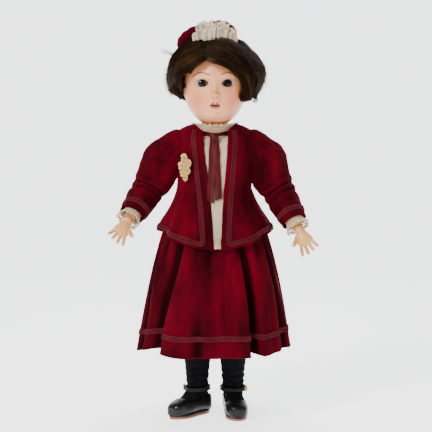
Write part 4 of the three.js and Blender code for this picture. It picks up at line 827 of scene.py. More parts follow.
def make_head_rows(angle):
    """The skin's rows from the hole in the neck's dome up to the open crown, closest over the face."""
    rows = []
    for polar in np.linspace(math.asin(NECK_HOLE / NECK_DOME), math.radians(76), 16):
        size = NECK_DOME * math.sin(polar)
        rows.append(around(angle, NECK_Z - NECK_DOME * math.cos(polar), size, size, size))
    heights = [np.linspace(NECK_Z - 3.6, NECK_Z + 8, 16), np.arange(NECK_Z + 8.5, NECK_Z + 68, 0.5),
               np.linspace(NECK_Z + 69, CROWN_Z, 26)]
    rows += [head_point(angle, z) for z in np.concatenate(heights)]
    return np.array(rows)


def make_head():
    count = 336
    turned = round_angles(count)
    grid = make_head_rows(turned - 0.55 * np.sin(turned))
    inside = np.zeros(grid.shape[:2], bool)
    front = grid[..., 1] < -20
    for x0, z0, width, up, down in OPENINGS:
        dx, dz = grid[..., 0] - x0, grid[..., 2] - z0
        depth = opening_depth(dx, dz, width, up, down)
        within = (depth < 1) & front
        inside |= within
        push = np.where(within, 1 / np.maximum(depth, 0.02), 1)
        moved = face_at(np.where(within, x0 + dx * push, 0), np.where(within, z0 + dz * push, NECK_Z + 30))
        near = within & (depth > 0.7)
        grid[near] = moved[near]
    corner = inside & np.roll(inside, -1, axis=1)
    gone = np.zeros_like(inside)
    gone[:-1] = corner[:-1] & corner[1:]
    faces = grid_faces(len(grid), count, True, gone)
    head = new_piece("head_skin", grid, faces[:, ::-1].tolist(), BISQUE)
    x, z = grid[..., 0], grid[..., 2]
    ahead = front.astype(float)
    across = np.abs(x)
    blush = 0.8 * bell(across, 27.5, 13) * bell(z, NECK_Z + 31, 12) + 0.3 * bell(x, 0, 7) * bell(z, NECK_Z + 6, 5)
    lid = 0.65 * bell(z, EYE_Z + 7.2 - 0.03 * (across - EYE_X) ** 2, 1.6) * bell(across, EYE_X, 8)
    nostrils = bell(across, 3.2, 1.1) * bell(z, NECK_Z + 36.3, 0.85)
    eye_corners = 0.75 * bell(across, 8.4, 0.7) * bell(z, EYE_Z - 1, 0.7)
    for name, mask in (("blush", blush), ("lid", lid), ("lip", lip_mask(x, z)),
                       ("dot", np.maximum(nostrils, eye_corners))):
        give_mask(head, name, mask * ahead)
    drop_loose(head)
    parts = [head]
    for x0, z0, width, up, down in OPENINGS:
        lip = width == MOUTH_WIDE
        edge_x, edge_z = opening_edge(round_angles(72), width, up, down)
        rings = []
        for grow, lift in [(1.1, 0.0), (1.06, 0.3), (1.02, 0.42), (0.985, 0.25), (0.965, -0.5), (0.955, -3.0)]:
            seat = face_at(x0 + edge_x * grow, z0 + edge_z * (grow ** 3 if lip else grow))
            seat[:, 1] -= lift * (0.7 if lip else 1)
            rings.append(seat)
        rim = stack("rim", rings, BISQUE, closed=(False, False))
        count = len(rim.data.vertices)
        give_mask(rim, "lip", [1.0 if lip else 0.0] * count)
        give_mask(rim, "lid", [0.0 if lip else 0.35] * count)
        face_outward(rim, np.array([x0, -60, z0]))
        parts.append(rim)
    turned = round_angles(64)
    wall = 3.4 + 19 * np.maximum(0, np.cos(turned)) ** 0.6
    rings = [head_point(turned, np.full(64, z), wall) for z in np.linspace(CROWN_Z, NECK_Z + 8, 24)]
    lining = stack("lining", rings, BISQUE, closed=(False, False))
    lining.data.flip_normals()
    parts.append(lining)
    return joined("head_skin", parts)


def face_outward(piece, eye):
    """Turns a small band so that its faces look at a place."""
    mesh = piece.data
    target = Vector((eye * MM).tolist())
    seen = sum((target - p.center).dot(p.normal) * p.area for p in mesh.polygons)
    if seen < 0:
        mesh.flip_normals()


def make_eye(word):
    """A blown glass ball about its gaze, with the clear bulge over the iris."""
    side = SIDES[word]["side"]
    a = -round_angles(56)
    rings = []
    for theta in np.concatenate([np.linspace(0, 0.75, 30), np.linspace(0.8, math.pi, 22)]):
        radius = EYE_RADIUS * 0.985 + 0.5 * float(bell(theta, 0, 0.45))
        wide = radius * math.sin(theta)
        rings.append(xyz(wide * np.cos(a) + side * EYE_X, EYE_Y - radius * math.cos(theta), wide * np.sin(a) + EYE_Z))
    eye = stack(f"glass_eye_{word}", rings[1:], EYE_GLASS)
    points = get_points(eye) - np.array([side * EYE_X, EYE_Y, EYE_Z])
    theta = np.arccos(np.clip(-points[:, 1] / np.linalg.norm(points, axis=1), -1, 1))
    spin = (np.arctan2(points[:, 2], points[:, 0]) / TURN) % 1.0
    eye.data.uv_layers.remove(eye.data.uv_layers[0])
    give_uv(eye, np.stack([spin, theta / math.pi], -1))
    return eye


def make_lashes():
    """Fine painted strokes round each eye, and the feathered brows over them."""
    lashes, brows = [], []
    draw = np.random.default_rng(7)
    t = np.linspace(0, 1, 6)
    for side in (-1, 1):
        upper = [(a, 1.5) for a in np.linspace(0.32, math.pi - 0.25, 17)]
        lower = [(a, 1.2) for a in np.linspace(-0.4, -math.pi + 0.4, 14)]
        for turned, length in upper + lower:
            edge_x, edge_z = opening_edge(np.array(turned), EYE_WIDE, EYE_UP, EYE_DOWN)
            grow = 1.13 + length * (0.9 + 0.2 * draw.uniform()) * t / 8
            outwards = 0.7 * t * t * (1 if math.cos(turned) > 0 else -1)
            x = side * EYE_X + side * (edge_x * grow + outwards * 0.8)
            lashes.append(face_at(x, EYE_Z + edge_z * grow + 0.1 * t, 0.1))
        for stroke in range(44):
            place = (stroke + draw.uniform(-0.4, 0.4)) / 43
            arch = 67.8 + 4.1 * math.sin(math.pi * min(1, max(0, place * 0.85 + 0.08))) - 1.2 * place ** 3
            x = side * (mix(8.0, 29.5, place) + 3.2 * t)
            z = NECK_Z + arch + draw.uniform(-0.6, 0.6) * (1 - place * 0.6) + 0.9 * t * (1 - 1.9 * place)
            brows.append(face_at(x, z, 0.08))
    taper = np.array([0.7, 1, 1, 0.85, 0.6, 0.2])
    return [
        threads("painted_lashes", lashes, 0.1, LASH_PAINT, sides=4, widths=taper),
        threads("painted_brows", brows, 0.34, BROW_PAINT, sides=4, widths=taper),
    ]


def make_teeth():
    """Four upper teeth before the dark back of the mouth: a dark red plate, partly the mouth's paint and partly
    painted shade of the hollow head behind it.
    """
    y = float(face_at(0, MOUTH_Z)[1]) + 3.6
    teeth = []
    a = round_angles(16)
    for place in (-1.5, -0.5, 0.5, 1.5):
        rings = [xyz(place * 2.2 + 1.05 * size * np.cos(a), y + 0.9 * size * np.sin(a), MOUTH_Z + z)
                 for z, size in [(3.2, 0.6), (2.6, 1.0), (1.5, 1.06), (0.7, 0.95), (0.3, 0.55)]]
        teeth.append(stack("tooth", rings, ENAMEL))
    a = round_angles(40)
    rings = [xyz(size * 8.4 * np.cos(a), y + deep, MOUTH_Z + size * 3.4 * np.sin(a))
             for size, deep in ((0.9, 1.2), (1, 1.4), (1, 1.8), (0.9, 2.0))]
    return joined("teeth", [*teeth, make_outward(stack("mouth_back", rings, MOUTH_PAINT_AND_SHADE))])


# Hair
def hair_shell(angle, z, depth):
    """A place on the wig's outer form, at an angle and height, sunk inwards by a depth."""
    above = np.clip((z - WIG_Z) / (WIG_TOP_Z - WIG_Z), 0, 0.995)
    below = np.clip((WIG_Z - z) / 60, 0, 1)
    spread = np.sqrt(1 - above ** 2) * (1 - 0.55 * below ** 2)
    fuller = 1 + 0.03 * np.maximum(0, np.sin(angle))
    lobes = 1 + 0.018 * np.sin(7 * angle + 0.08 * z) + 0.014 * np.sin(13 * angle - 0.05 * z)
    half_width = WIG_WIDE / 2 * 0.96 * spread * fuller * lobes - depth
    ahead = (WIG_DEEP / 2 - 1) * spread * fuller * lobes - depth
    behind = (WIG_DEEP / 2 + 2) * spread * fuller * lobes - depth
    point = around(angle, z - 0.45 * depth * above, half_width, ahead, behind)
    point[..., 1] += SKULL_Y
    return point


HAIR_EDGE = through([
    [-180, 452], [-120, 459], [-84, 467], [-66, 477], [-52, 490], [-37, 500], [-28, 505], [-20, 511], [-12, 518],
    [-2, 511], [12, 508], [27, 499], [46, 474], [54, 461], [80, 459], [120, 453], [180, 449]])
# For each sweep its locks, hairs in a lock, seed, and three guides of (angle, height) from root to tip
SWEEPS = {
    "left": (64, 29, 11, [
        [(-12, 517), (-2, 512), (12, 508), (27, 500), (46, 476), (54, 460)],
        [(-14, 533), (8, 529), (30, 517), (48, 500), (58, 481), (64, 460)],
        [(-22, 548), (30, 544), (60, 527), (76, 506), (82, 483), (88, 461)]]),
    "right": (60, 29, 12, [
        [(-12, 517), (-19, 511), (-28, 505), (-38, 500), (-52, 493), (-66, 477)],
        [(-14, 533), (-28, 527), (-44, 515), (-60, 502), (-74, 489), (-82, 469)],
        [(-22, 548), (-55, 542), (-76, 525), (-88, 504), (-96, 484), (-100, 465)]]),
    "back": (98, 24, 13, [
        [(60, 549), (80, 538), (90, 516), (95, 492), (97, 472), (98, 459)],
        [(180, 550), (176, 540), (178, 520), (180, 496), (181, 470), (180, 448)],
        [(300, 549), (280, 538), (268, 516), (264, 492), (262, 476), (260, 463)]]),
}


def lock_path(controls, t, draw):
    """The middle of one lock: smooth through its turning points, with a wave and a curl at its end."""
    knots = through([[i / (len(controls) - 1), *pair] for i, pair in enumerate(controls)])
    angle, z = knots(t)
    sway, phase = draw.normal(0, 5.4), draw.uniform(0, TURN)
    swing = 3.4 * np.sin(TURN * 1.3 * t + phase) + 1.5 * np.sin(TURN * 3.1 * t + 2 * phase)
    angle = np.radians(angle + (sway + swing) * t)
    rise = 2.0 * np.sin(TURN * 1.1 * t + phase * 2) + 1.1 * np.sin(TURN * 2.7 * t + phase)
    z = z + (draw.normal(0, 2.2) + rise) * t
    depth = 1.8 + draw.uniform(-3.2, 3.6) + 2.5 * np.sin(TURN * 1.6 * t + phase) * ease(0, 0.3, t)
    curl = draw.uniform(5, 15) if draw.uniform() < 0.86 else draw.uniform(-2, 1)
    depth = depth + curl * ease(0.78, 1.02, t) + 3.0 * (1 - ease(0, 0.12, t))
    return hair_shell(angle, z, depth)


def make_hair_locks(word):
    """All the locks of one sweep, each a bundle of hairs round a middle between two of the sweep's guides."""
    count, hairs, seed, guides = SWEEPS[word]
    draw = np.random.default_rng(seed)
    t = np.linspace(0, 1, 13)
    paths, shades = [], []
    guides = np.array(guides, float)
    for lock in range(count):
        q = (lock + draw.uniform(-0.5, 0.5)) / (count - 1)
        q = float(np.clip(q, 0, 1)) ** (0.85 if word != "back" else 1.0)
        low = min(int(q * 2), 1)
        controls = mix(guides[low], guides[low + 1], q * 2 - low)
        middle = lock_path(controls, t, draw)
        girth = 2.0 + draw.uniform(0, 2.8)
        girth = girth * (0.55 + 0.8 * np.sin(math.pi * (0.12 + 0.72 * t))) * (1 - 0.45 * t ** 3)
        along = unit(np.gradient(middle, axis=0))
        out = middle - np.array([0, SKULL_Y, HEAD_CENTRE_Z - 10])
        out -= (out * along).sum(1, keepdims=True) * along
        out = unit(out)
        beside = np.cross(along, out)
        base = draw.uniform(0.0, 0.85) ** 1.3
        for _ in range(hairs):
            spin, reach = draw.uniform(0, TURN), math.sqrt(draw.uniform())
            stray = draw.normal(0, 0.8, 2)
            wide = reach * math.cos(spin) * girth * 1.5 + stray[0] * t * 1.6
            deep = reach * math.sin(spin) * girth * 0.55 + stray[1] * t
            paths.append(middle + beside * wide[:, None] + out * deep[:, None])
            # Hairs on a lock's outer side are tinted lighter and those deep inside it darker: painted light and
            # shade; each lock's base tint varies at random.
            shades.append(np.clip(base + draw.normal(0, 0.14) + 0.16 * math.sin(spin), 0, 1))
    taper = 1 - 0.75 * t ** 3
    return threads(f"hair_{word}", paths, 0.19, HAIR, sides=3, widths=taper, shades=shades)


def make_stray_hair():
    """Loose single hairs, a thin lock over the doll's right brow and a curl low on its left."""
    draw = np.random.default_rng(21)
    paths, shades = [], []
    t = np.linspace(0, 1, 14)
    for _ in range(420):
        start = 180 + draw.uniform(-118, 118)
        low = draw.uniform(461, 503)
        angle = np.radians(start + draw.normal(0, 14) * t)
        z = mix(draw.uniform(520, 545), low, t)
        depth = 1 - draw.uniform(0, 8.5) * t * (0.4 + np.sin(TURN * t + draw.uniform(0, TURN)) ** 2)
        paths.append(hair_shell(angle, z, depth))
        shades.append(draw.uniform(0.3, 0.9))
    for _ in range(16):
        x = mix(-50, -76 + draw.normal(0, 3), t) + 2 * np.sin(t * 3)
        z = 514 + mix(0, 13 + draw.normal(0, 3.5), t) + 2.5 * np.sin(t * math.pi)
        paths.append(xyz(x, mix(-14, -18, t) + draw.normal(0, 1.6) * t, z))
        shades.append(draw.uniform(0.3, 0.8))
    for _ in range(34):
        wide = draw.normal(0, 1.1)
        x = -14 - 21 * t - 2 * np.sin(math.pi * t) + wide * (0.3 + t)
        z = 516 - 21 * t ** 1.2 + 4.5 * np.sin(math.pi * t) + draw.normal(0, 0.7) * t
        paths.append(face_at(x, z, 1.3 + 4 * (1 - ease(0, 0.3, t)) + draw.uniform(0, 1)))
        shades.append(draw.uniform(0.2, 0.6))
    for _ in range(20):
        turned = 3.6 * t
        radius = 6.5 - 3.4 * t + draw.normal(0, 0.35)
        x = 56 + radius * np.sin(turned) + draw.normal(0, 0.4)
        z = 462 - radius * (1 - np.cos(turned)) + 3 * (1 - t)
        paths.append(xyz(x, -18 + draw.normal(0, 2.0) + 4 * t, z))
        shades.append(draw.uniform(0.25, 0.6))
    taper = 1 - 0.7 * t ** 2
    return threads("stray_hair", paths, 0.17, HAIR, sides=3, widths=taper, shades=shades)


def make_hair_base():
    """The wig's sewn base with short under-hair, which closes the view between the locks."""
    angles = round_angles(120)
    edge = HAIR_EDGE(np.degrees(signed_angle(angles)))[0] + 3.5
    rows, under = [], []
    for t in np.linspace(0.02, 1, 30):
        z = WIG_TOP_Z - 0.3 - (WIG_TOP_Z - edge) * (1 - np.cos(t * math.pi / 2)) ** 0.9
        rows.append(hair_shell(angles, z, 4.2 + 0.5 * np.sin(angles * 60)))
        under.append(hair_shell(angles, z, 10.5))
    base = stack("hair_base", rows + under[::-1], HAIR)
    # The under-hair takes only the darkest tints of the hair: painted shade beneath the locks.
    give_mask(base, "shade", np.random.default_rng(5).uniform(0.05, 0.3, len(base.data.vertices)))
    return base


# Hat
HAT_AT = np.array([-12, 21, WIG_TOP_Z - 4])


def hat_place(points):
    tilted = np.asarray(points) @ turn((1, 0, 0), -22).T @ turn((0, 1, 0), -15).T
    return tilted + HAT_AT


def make_hat():
    """A soft velvet cap whose fullness is gathered into a narrow band."""
    profile = through([[0, 0, -7], [0.12, 34, -7.4], [0.24, 44, -4.2], [0.36, 47.3, 0.6], [0.5, 43, 5.6],
                       [0.7, 27, 8.2], [0.88, 10, 8.6], [1, 0.6, 8.4]])
    angle = -round_angles(200)
    rings = []
    for t in np.linspace(0, 1, 54):
        radius, height = profile(t)
        full = ease(0.05, 0.3, t) * (1 - ease(0.75, 1, t))
        gather = 1 + full * (0.006 * np.sin(angle * 18) + 0.012 * np.sin(angle * 7 + 1) + 0.003 * np.sin(angle * 31))
        rise = height + full * (0.45 * np.sin(angle * 18 + 0.7) + 0.8 * np.sin(angle * 5))
        size = 0.95 * radius * gather
        rings.append(hat_place(xyz(size * np.cos(angle), size * np.sin(angle), rise)))
    return make_outward(stack("hat_crown", rings[::-1], HAT_VELVET))


def lace_holes(wide, high, pitch, scallop, upside_down=False):
    """Which cells of a lace sheet are open: a net, a border of eyelets and a scalloped edge, flowers left solid."""
    def open_cell(u, v):
        v = 1 - v if upside_down else v
        x, y = u * wide / pitch, v * high / pitch
        row = np.round(y / 0.86)
        cx = np.round(x - 0.5 * (row % 2)) + 0.5 * (row % 2)
        away = np.hypot(x - cx, y - row * 0.86)
        open_ = away < 0.34
        period = scallop / wide
        wave = np.abs(np.sin(u / period * math.pi))
        edge = 1 - 0.14 * (1 - wave)
        border = (v > edge - 0.13) | (v < 0.06)
        open_ &= ~border
        place = (u / period + 0.5) % 1 - 0.5
        eyelet = np.hypot(place * scallop, (v - edge + 0.24) * high)
        open_ |= eyelet < 0.16 * scallop
        open_ &= ~((eyelet >= 0.16 * scallop) & (eyelet < 0.27 * scallop))
        across, down = ((u / period) % 1 - 0.5) * scallop, (v - 0.42) * high
        centre, spin = np.hypot(across, down), np.arctan2(down, across)
        open_ &= centre >= 0.2 * scallop * (1 + 0.35 * np.cos(5 * spin))
        open_ |= centre < 0.05 * scallop
        return open_ | (v > edge)
    return open_cell


def make_hat_lace():
    """The gathered lace ruffle before the cap: three frills that flop over one another."""
    layers = []
    for index, (phase, back, tall, wide) in enumerate([(0.3, 0, 0, 0), (2.2, 6.0, -1.0, -2), (4.4, -4.5, -9, 1)]):
        def surface(u, v, phase=phase, back=back, tall=tall, wide=wide, index=index):
            place = mix(-1, 1, u)
            free = (1 - v) ** 1.2
            flop, fold = noise(61 + index, place * 3.2), noise(71 + index, place * 8)
            pleat = u * 8.5 * TURN + phase
            shift = 3.0 * noise(81 + index, place * 6) + 2.2 * np.sin(u * 9 * TURN + phase)
            x = place * (31 + wide) + 1 + free * shift
            ripple = 3.4 * np.sin(pleat + 2 * flop) + 0.9 * np.sin(u * 31 * TURN) + 3.6 * fold
            y = back - 30 + 11 * place ** 2 + ripple * (0.25 + 0.75 * free)
            y = y - 5.0 * free * (0.5 + flop) + 5 * free ** 2
            droop = np.where(place > 0, 3.0, 6.5) * np.abs(place) ** 2.2
            top = 18.8 + tall + 3.8 * flop - droop + 1.7 * np.sin(pleat + 1)
            z = WIG_TOP_Z + mix(np.minimum(top, 23.5), -9, v) - 0.007 * x * x
            z = z + 3.0 * bell(place, -0.8, 0.3) * free - 5.0 * ease(0.35, 1, place)
            return xyz(x, y, z)
        holes = lace_holes(200, 30, 2.1, 9, upside_down=True)
        layers.append(cloth("lace_layer", surface, 260, 32, 0.45, PALE_LACE, holes=holes, size=(0.2, 0.03)))
    return joined("hat_lace_ruffle", layers)


# Sewn trims
def trim_frames(surface, u, v):
    """Places, sideways directions and normals of a path over a surface, and its length so far."""
    step = 0.002
    at = surface(u, v)
    du = surface(u + step, v) - surface(u - step, v)
    dv = surface(u, np.minimum(v + step, 1)) - surface(u, np.maximum(v - step, 0))
    normal = unit(np.cross(dv, du))
    beside = np.cross(normal, unit(np.gradient(at, axis=0)))
    run = np.concatenate([[0], np.cumsum(np.linalg.norm(np.diff(at, axis=0), axis=1))])
    return at, beside, normal, run


def resample(values, run, places):
    """Vectors known at lengths along a path, at other lengths."""
    return np.stack([np.interp(places, run, values[:, i]) for i in range(3)], -1)


def make_gimp(name, surface, u, v, looped=False):
    """Woven furnishing braid: a flat tape, a corded edge on each side and a chain of loops between them."""
    width, lift, twist_length, loop_length = 7.4, 0.5, 1.8, 3.4
    at, beside, normal, run = trim_frames(surface, u, v)
    places = np.arange(0, run[-1], 0.9)
    at, beside, normal = (resample(a, run, places) for a in (at, beside, normal))
    beside = unit(beside)
    count = len(places)

    def over(offset, height):
        return at + beside * np.reshape(offset, (-1, 1)) + normal * np.reshape(height, (-1, 1))

    across = np.linspace(-0.5, 0.5, 5) * (width - 0.8)
    top = np.stack([over(np.full(count, w), np.full(count, lift)) for w in across], 1)
    under = top - normal[:, None, :] * 0.45
    band = np.concatenate([top, under[:, ::-1]], axis=1)
    if looped:
        band = np.concatenate([band, band[:1]])
    tape = make_outward(stack("tape", band, BRAID, closed=(not looped, not looped), size=(0.01, run[-1] * MM)))
    twist = places * TURN / twist_length
    cords = [over(edge * (width / 2 - 0.55) + 0.18 * np.sin(twist), lift + 0.25 + 0.12 * np.cos(twist))
             for edge in (-1, 1)]
    fine = np.arange(0, run[-1], 0.36)
    chain_at, chain_side, chain_up = (resample(a, places, fine) for a in (at, beside, normal))
    swing = fine * TURN / loop_length
    ahead = np.cross(chain_side, chain_up)
    chain = chain_at + chain_side * (width * 0.3 * np.cos(swing))[:, None]
    chain += ahead * (0.875 * np.sin(2 * swing))[:, None]
    chain += chain_up * (lift + 0.35 + 0.2 * np.sin(2 * swing))[:, None]
    pieces = [tape, threads("edge_cords", cords, 0.52, BRAID_CORD, sides=6, looped=looped),
              threads("loop_chain", [chain], 0.5, BRAID_CORD, sides=6, looped=looped)]
    return joined(name, pieces)


# Jacket
jacket_shape = through([
    [0, NECK_EDGE_Z, 33, 31, 31], [0.1, NECK_EDGE_Z - 4, 44, 36, 33], [0.2, SHOULDER_Z + 10, 54, 40, 34],
    [0.36, SHOULDER_Z - 16, 54, 44, 38], [0.5, SHOULDER_Z - 40, 54, 45, 38], [0.64, WAIST_Z, 56, 46, 40],
    [0.8, WAIST_Z - 28, 67, 62, 53], [0.9, WAIST_Z - 45, 77, 72, 61.5], [1, JACKET_HEM_Z, 86, 80, 70],
])
shoulder_lift = through([[0, 10], [0.1, 10], [0.2, 10], [0.28, 7], [0.36, 0], [1, 0]])
HALVES = {"right": (0.5, 1.0), "left": (0.0, 0.5)}
HEM_DIP, ARMHOLE = 17, 22.2
HEM_BRAID_RISE = 8.0 / 52 * 0.2  # how far the braid lies above the hem, as a share of the jacket's length


def front_depth(z):
    """How far forward the jacket's front reaches at a height, where its hem dips."""
    rows = np.linspace(0, 1, 200)
    heights, _, front, _ = jacket_shape(rows)
    heights = heights - HEM_DIP * ease(0.5, 1, rows)
    return np.interp(-np.asarray(z, float), -heights, front)


def jacket_surface(u, v):
    z, half_width, front, back = jacket_shape(v)
    down = ease(0.15, 1, v)
    left_edge = np.arcsin(mix(19, 9, down) / half_width)
    right_edge = np.arcsin(mix(17, 2, down) / half_width)
    angle = mix(left_edge, TURN - right_edge, u)
    signed = np.where(angle > math.pi, angle - TURN, angle)
    flare = ease(0.66, 1, v)
    folds = sum(bell(signed, place, 0.16) for place in (-2.6, -2.0, -1.1, 1.0, 1.9, 2.5, 3.14))
    point = around(signed, z, half_width, front, back)
    small = 0.011 * flare * np.sin(signed * 13 + 0.6 * np.sin(signed * 3))
    crush = 1.1 * noise(31, signed * 1.4, v * 4) / 50
    waist = 0.9 * bell(v, 0.6, 0.035) * (0.5 + 0.5 * np.sin(signed * 9)) / 50
    scale = 1 - 0.055 * flare * folds + small + crush * ease(0.1, 0.3, v) - waist
    point[..., :2] *= scale[..., None]
    side_on = np.abs(signed)
    point[..., 2] += shoulder_lift(v)[0] * ease(0.45, 1.15, side_on)
    rise = 7 * ease(0.6, 1.4, side_on) * (1 - ease(2.2, 3, side_on)) - HEM_DIP * bell(signed, 0.05, 0.62)
    point[..., 2] += ease(0.5, 1, v) * rise + 1.2 * flare * np.sin(signed * 4 + 1)
    return point


def armhole(u, v):
    """True where the jacket is cut out for an arm."""
    point = jacket_surface(u, v)
    point[..., 0] = np.abs(point[..., 0]) - SHOULDER_X
    point[..., 2] -= SHOULDER_Z
    return np.linalg.norm(point, axis=-1) < ARMHOLE


def painted_fold_shade(surface, across, down, reach, strength, wraps=False, rows=0):
    """How much painted shade each point of a garment takes in its folds: how far it lies behind the cloth around it,
    from 0 on ridges to 1 deep in a fold.
    """
    count = across if wraps else across + 1
    u, v = np.meshgrid(np.arange(count) / across, np.linspace(0, 1, down + 1))
    points = surface(u, v)
    out = np.linalg.norm(points - points.mean(axis=1, keepdims=True), axis=-1)
    spots = [np.arange(count) + s for s in range(-reach, reach + 1)]
    nearby = sum(out[:, spot % count if wraps else np.clip(spot, 0, count - 1)] for spot in spots) / len(spots)
    if rows:
        spots = [np.arange(down + 1) + s for s in range(-rows, rows + 1)]
        nearby = sum(nearby[np.clip(spot, 0, down)] for spot in spots) / len(spots)
    level = np.clip((nearby - out) * 0.42 + 0.2, 0, 1) * strength
    return np.concatenate([level.ravel(), level.ravel()])


EDGE_ROLL = 0.95


def half_of(surface, word):
    """The right or left half of a garment's surface."""
    return lambda u, v: surface(mix(*HALVES[word], u), v)


def hem_roll(name, surface, count, span=(0.0, 1.0), looped=False):
    """The rolled and stitched edge of a garment."""
    u = np.linspace(*span, count, endpoint=not looped)
    at, _, normal, _ = trim_frames(surface, u, np.ones(count))
    return threads(name, [at - normal * 0.75], EDGE_ROLL, VELVET, sides=8, looped=looped)


def make_jacket(word):
    """One half of the jacket, from its front edge to the seam down the middle of the back."""
    surface = half_of(jacket_surface, word)
    body = cloth("jacket_body", surface, 150, 120, CLOTH * 0.9, VELVET,
                 holes=lambda u, v: armhole(mix(*HALVES[word], u), v), size=(0.25, 0.15))
    hem = hem_roll("jacket_hem", jacket_surface, 210, HALVES[word])
    front = np.full(120, {"right": 0.9985, "left": 0.0015}[word])
    at, _, normal, _ = trim_frames(jacket_surface, front, np.linspace(0.02, 1, 120))
    edge = threads("front_edge", [at - normal * 0.6], EDGE_ROLL, VELVET, sides=8)
    return joined(f"velvet_jacket_{word}", [body, hem, edge])


def jacket_trim_path(word):
    """Down a front edge and round the hem to the middle of the back, in a little from the cloth's edge."""
    def inset(v, distance):
        _, half_width, front, back = jacket_shape(v)
        return distance / (math.pi * (half_width + (front + back) / 2) * 0.94)
    hem_v = 1 - HEM_BRAID_RISE
    rows = np.linspace(0.075, hem_v, 200)
    from_edge = {"right": 13.5, "left": 9.5}[word]
    across = np.linspace(inset(hem_v, from_edge), 0.5, 260)[1:]
    u = np.concatenate([inset(rows, from_edge), across])
    v = np.concatenate([rows, np.full(len(across), hem_v)])
    for run in (u, v):
        run[4:-4] = np.convolve(run, np.ones(9) / 9, "valid")
    return (u, v) if word == "left" else (1 - u, v)


# Skirt
SKIRT_BRAID = 0.886  # how far down the skirt its braid runs
skirt_shape = through([
    [0, WAIST_Z - 1, 41.1, 34.6, 30.1], [0.06, WAIST_Z - 14, 50, 43, 39], [0.14, WAIST_Z - 32, 61, 51, 47],
    [0.28, WAIST_Z - 64, 77, 67, 62], [0.6, mix(WAIST_Z, HEM_Z, 0.6), 98, 88, 84], [1, HEM_Z, 116, 100, 100],
])
SKIRT_FOLDS = [(math.radians(p), d, math.radians(w)) for p, d, w in (
    (-12, 4, 5), (6, 3, 4), (50, 4, 5), (62, 8, 6), (-72, 7, 6), (88, 9, 9), (-100, 9, 9), (118, 10, 9),
    (-130, 10, 9), (148, 10, 9), (-160, 9, 8), (177, 10, 9))]


def skirt_fold_depth(angle, v):
    """How far the cloth falls back: soft folds all round and two pleats whose edges lap over."""
    signed = np.degrees(signed_angle(angle))
    lap = mix(-28, -41, ease(0.1, 0.9, v))
    right_pleat = ease(lap, lap - 3.5, signed) * (1 - ease(lap - 4, lap - 30, signed))
    left_pleat = ease(25.0, 28.0, signed) * (1 - ease(31.5, 38, signed))
    total = 19 * right_pleat + 23 * left_pleat
    for place, deep, width in SKIRT_FOLDS:
        total = total + deep * bell(signed_angle(angle - place), 0, width * mix(0.75, 1, v))
    return total


def skirt_surface(u, v):
    z, half_width, front, back = skirt_shape(v)
    angle = u * TURN
    bend = angle + 0.035 * np.sin(v * 4 + 3 * angle) * v
    depth = skirt_fold_depth(bend, v) * ease(0.08, 0.95, v)
    gathers = 2.1 * np.sin(angle * 22 + 1.3 * np.sin(angle * 5) + v * 2)
    gathers *= ease(0.02, 0.2, v) * (1 - ease(0.3, 0.7, v))
    gathers -= 0.6 * np.abs(np.sin(angle * 48)) * (1 - ease(0.05, 0.3, v))
    soft = 4.6 * noise(41, np.sin(angle) * 2.6, np.cos(angle) * 2.6, v * 1.4) * ease(0.15, 0.6, v)
    front_middle = bell(signed_angle(angle), -0.1, 0.5) * ease(0.1, 0.4, v) * (1 - ease(0.65, 1, v))
    soft = soft + 3.2 * np.sin(angle * 9 - 5.0 * v + 1.2) * front_middle
    shrink = 1 - (depth - gathers - soft) / half_width
    point = around(angle, z, half_width * shrink, front * shrink, back * shrink)
    lift = 7 * bell(angle, 1.35, 0.5) + 4 * bell(angle, TURN - 0.95, 0.25)
    point[..., 2] += v ** 2 * (0.9 * np.sin(angle * 6 + 1.0) + lift) + 0.2 * depth * ease(0.7, 1, v)
    return point


def make_skirt(word):
    surface = half_of(skirt_surface, word)
    body = cloth("skirt_body", surface, 190, 108, CLOTH * 0.85, VELVET, size=(0.36, 0.23))
    # The skirt's fold mask paints shade into its folds.
    give_mask(body, "painted_fold_shade_mask", painted_fold_shade(surface, 190, 108, 13, 0.9))
    return joined(f"velvet_skirt_{word}", [body, hem_roll("skirt_hem", skirt_surface, 350, HALVES[word])])


def petticoat_surface(u, v):
    _, half_width, front, back = skirt_shape(v)
    inset = mix(CLOTH + GAP, 25, ease(0, 1, v))
    z = mix(WAIST_Z - 1.5, HEM_Z + 14, v)
    angle = u * TURN
    wave = 1 + 0.012 * v * np.sin(9 * angle) + 0.006 * v * np.sin(31 * angle)
    return around(angle, z, (half_width - inset) * wave, (front - inset) * wave, (back - inset) * wave)


def petticoat_frill(u, v):
    """The eyelet frill sewn on a little above the petticoat's edge."""
    point = petticoat_surface(u, np.full_like(v, 0.94))
    out = unit(point * np.array([1, 1, 0]))
    swell = 1.0 + (1.2 + 1.6 * np.sin(u * TURN * 44)) * ease(0, 1, v)
    point = point + out * swell[..., None]
    point[..., 2] -= 10 * v - 2
    return point


def make_petticoat(word):
    body = cloth("petticoat_body", half_of(petticoat_surface, word), 100, 40, 0.7, LINEN, size=(0.3, 0.21))
    edge = cloth("petticoat_frill", half_of(petticoat_frill, word), 240, 10, 0.4, LINEN,
                 holes=lace_holes(300, 12, 2.4, 9), size=(0.3, 0.012))
    return joined(f"cotton_petticoat_{word}", [body, edge])


# Blouse front, collar and ribbon
BEHIND = CLOTH + GAP + 0.9
blouse_shape = through([
    [0, NECK_EDGE_Z - 7, 30, 28.6], [0.05, SHOULDER_Z + 8, 46, 35.5], [0.12, SHOULDER_Z, 50 - BEHIND, 41.2 - BEHIND],
    [0.24, SHOULDER_Z - 16, 50 - BEHIND, 44 - BEHIND], [0.4, SHOULDER_Z - 40, 49 - BEHIND, 45 - BEHIND],
    [0.56, WAIST_Z, 54 - BEHIND, 46 - BEHIND], [0.72, WAIST_Z - 28, 67 - BEHIND, 60 - BEHIND],
    [0.9, JACKET_HEM_Z, 86 - BEHIND, 77 - BEHIND], [1, JACKET_HEM_Z - 15, 92, 80]])


